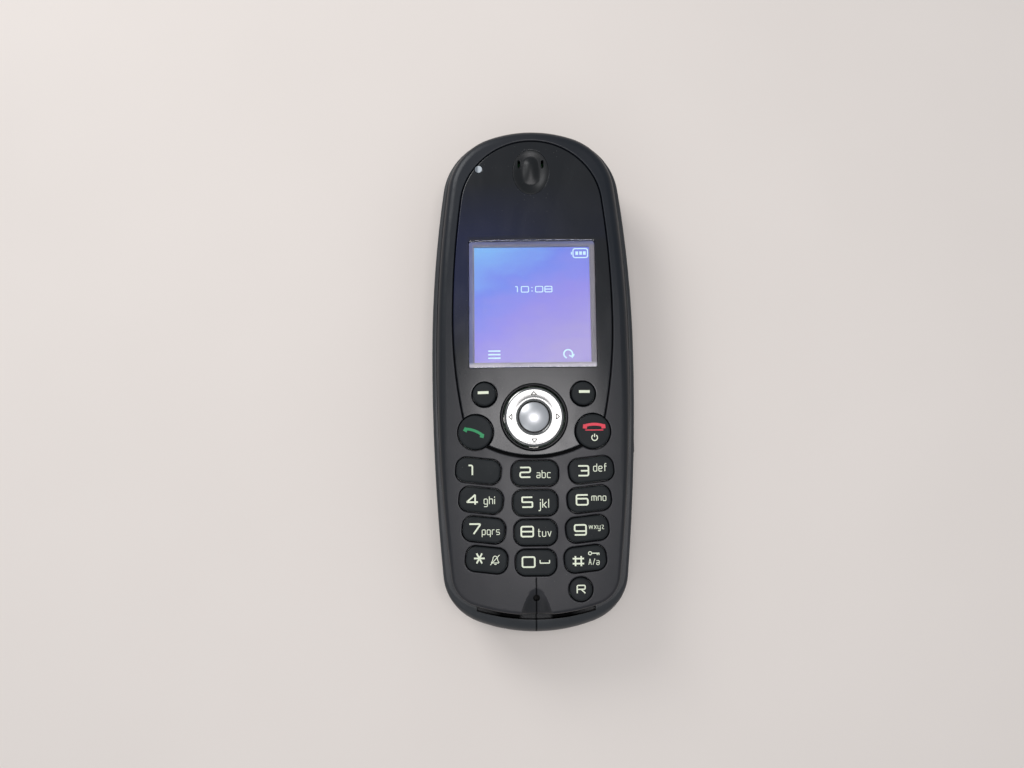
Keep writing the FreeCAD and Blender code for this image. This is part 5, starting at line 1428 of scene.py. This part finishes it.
def nav_dish(low):
    """Chrome ring: a fine lip at its bore, a dished face and a bevelled outer edge."""
    radii = np.linspace(*NAV_FACE, 13)
    face = np.stack([radii, ring_height(radii, NAV_ROW)], 1)
    inner = soft_corners([(NAV_BORE, low), (NAV_BORE, NAV_TOP - NAV_BORE_FALL),
                          (NAV_BORE + NAV_BEVEL, NAV_TOP - NAV_LIP_FALL), (radii[0], NAV_TOP)],
                         NAV_INNER_CORNER)
    outer = soft_corners([(radii[-1], NAV_TOP), (NAV_RADIUS, NAV_TOP - NAV_BEVEL), (NAV_RADIUS, low)],
                         NAV_OUTER_CORNER)
    profile = np.concatenate([inner, face[1:-1], outer])
    piece = turned_piece("nav_dish", profile, 0.0, NAV_ROW, "nav_ring", (CHROME, "ring_chrome"))
    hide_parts("nav_ring")


def nav_knob(low):
    """Domed key in the ring: its dome falls with the square of the reach from the middle."""
    inset, fall = CENTRE_KEY_SHOULDER
    reach = np.linspace(0.0, 1.0, 15)[1:]
    heights = CENTRE_KEY_EDGE + (CENTRE_KEY_TOP - CENTRE_KEY_EDGE) * (1 - reach ** 2)
    dome = np.stack([(CENTRE_KEY_RADIUS - inset) * reach, heights], 1)
    shoulder = soft_corners([dome[-1], (CENTRE_KEY_RADIUS, CENTRE_KEY_EDGE - fall),
                             (CENTRE_KEY_RADIUS, low)], CENTRE_KEY_CORNER)
    profile = np.concatenate([[(0.0, CENTRE_KEY_TOP)], dome[:-1], shoulder, [(0.0, low)]])
    piece = turned_piece("nav_knob", profile, 0.0, NAV_ROW, "nav_centre_key", (DOME_CHROME, "ring_chrome"),
                         closed=False)
    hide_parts("nav_centre_key")


def nav_marks():
    """Four small triangles that point outwards from the ring's face."""
    marks = []
    for quarter in range(4):
        corners = np.array(MARK_CORNERS) @ turned_by(math.pi / 2 * quarter) + (0.0, NAV_ROW)
        marks.append((soft_corners(corners, MARK_CORNER_ROUND, 3, True), MARK_STROKE, True))
    printed("nav_marks", marks, ring_height, "nav_ring", (LEGEND_GREY, "ring_chrome"), MARK_LIFT)


def navigation():
    """Bezel, ring, middle key and arrow marks."""
    low = FRONT_HEIGHT - FASCIA_RECESS - FASCIA_THICKNESS
    nav_rim(low)
    nav_dish(low)
    nav_knob(low - CENTRE_KEY_SKIRT)
    nav_marks()


def earpiece():
    """Oval dish with its nub and the two sound slots."""
    slots = [RoundBox(column, SLOT_ROW, SLOT_WIDTH, SLOT_LENGTH, SLOT_CORNER)
             for column in (-SLOT_COLUMN, SLOT_COLUMN)]
    piece = sheet_piece("ear_dish", EARPIECE, slots, ear_top, lambda x, y: fascia_under(x, y) - EAR_DROP,
                        "handset", (EAR_PLASTIC, "ear_plastic"), EAR_ROUND, [EAR_ROUND] * 2, EAR_SPACING)
    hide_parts("earpiece_insert")


def charge_sign():
    """A rounded frame with a stub at its left and three bars in it."""
    frame_line = soft_corners([(11.7, 35.0), (15.8, 35.0), (15.8, 32.4), (11.7, 32.4)], 0.6, 4, True)
    bars = [([(place, 33.2), (place, 34.2)], 0.75, False) for place in (12.75, 13.85, 14.9)]
    return [(frame_line, 0.3, True), *bars, ([(11.25, 33.3), (11.25, 34.1)], 0.3, False)]


def clock_sign():
    """Four digits with a colon between them."""
    strokes = [stroke for place, sign in ((-4.3, "1"), (-2.0, "0"), (2.0, "0"), (4.6, "8"))
               for stroke in digit(sign, place, CLOCK_ROW, CLOCK_SIZE)]
    return strokes + [([(0.0, CLOCK_ROW + dot - 0.15), (0.0, CLOCK_ROW + dot + 0.15)], 0.3, False)
                      for dot in (-0.5, 0.5)]


def list_sign():
    """Three short lines one over the other."""
    return [([(-12.4, row), (-9.0, row)], 0.4, False) for row in (3.9, 4.9, 5.9)]


def again_sign():
    """An arrow that turns back on itself."""
    loop = on_circle(0.0, 0.0, 1.2, np.radians(np.linspace(-30.0, 250.0, 28)))
    tip = loop[0] + np.array([(-0.75, 0.25), (0.1, -0.35), (0.65, 0.55)])
    return moved([(loop, 0.4, False), (tip, 0.34, False)], (9.8, 4.9))


def screen_signs():
    """Lit signs on the display: a charge sign, a clock and two soft-key marks."""
    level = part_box("display_panel")[1].z / MM
    printed("screen_signs", charge_sign() + clock_sign() + list_sign() + again_sign(),
            lambda x, y: np.full(np.shape(x), level), "handset", (SCREEN_SIGN, "panel_glass"))


# Floor, light and camera


def stage_floor():
    """A flat sheet under the handset, 3 m each way."""
    corners = [(-FLOOR_HALF, -FLOOR_HALF, 0.0), (FLOOR_HALF, -FLOOR_HALF, 0.0),
               (FLOOR_HALF, FLOOR_HALF, 0.0), (-FLOOR_HALF, FLOOR_HALF, 0.0)]
    mesh = bpy.data.meshes.new("floor")
    mesh.from_pydata(corners, [], [(0, 1, 2, 3)])
    mesh.materials.append(floor_paint())
    floor = bpy.data.objects.new("floor", mesh)
    bpy.context.scene.collection.objects.link(floor)


def area_light(name, place, target, width, length, power, tint):
    """A soft box at a place in millimetres, facing a target."""
    lamp = bpy.data.lights.new(name, "AREA")
    lamp.shape = "RECTANGLE"
    lamp.size = width * MM
    lamp.size_y = length * MM
    lamp.energy = power
    lamp.color = tint
    light = bpy.data.objects.new(name, lamp)
    light.location = Vector(place) * MM
    light.rotation_euler = (Vector(place) - Vector(target)).to_track_quat("Z", "Y").to_euler()
    bpy.context.scene.collection.objects.link(light)


def studio_light():
    """A dim room, a soft lamp behind the earpiece on the left, a ceiling panel that mirrors in
    the lower half of the front, and a weak fill from the chin's side."""
    world = bpy.data.worlds.new("studio")
    world.use_nodes = True
    backdrop = world.node_tree.nodes["Background"]
    backdrop.inputs["Color"].default_value = ROOM_COLOUR
    backdrop.inputs["Strength"].default_value = ROOM_STRENGTH
    bpy.context.scene.world = world
    for name, looks in SOFT_BOXES.items():
        area_light(name, *looks)


def stand_camera():
    """The photograph's view: tilted about X from straight above, with a slight roll."""
    normal = np.array([0.0, -math.sin(CAMERA_TILT), math.cos(CAMERA_TILT)])
    level = np.cross((0.0, 1.0, 0.0), normal)
    level /= np.linalg.norm(level)
    right, above = turned_by(CAMERA_ROLL) @ np.stack([level, np.cross(normal, level)])
    place = np.array(CAMERA_TARGET) + CAMERA_DISTANCE * normal
    camera = bpy.data.objects.new("camera", bpy.data.cameras.new("camera"))
    camera.data.lens = CAMERA_LENS
    camera.data.sensor_width = CAMERA_SENSOR
    camera.data.sensor_fit = "HORIZONTAL"
    camera.data.clip_start = 0.01
    camera.data.dof.use_dof = False
    turning = Matrix(np.stack([right, above, normal], 1).tolist()).to_4x4()
    camera.matrix_world = Matrix.Translation(Vector(place * MM)) @ turning
    bpy.context.scene.collection.objects.link(camera)
    bpy.context.scene.camera = camera


dress_nodes()
front_shell()
fascia()
window()
key_caps()
key_signs()
navigation()
earpiece()
screen_signs()
stage_floor()
studio_light()
stand_camera()
bpy.context.scene.view_settings.view_transform = "Standard"
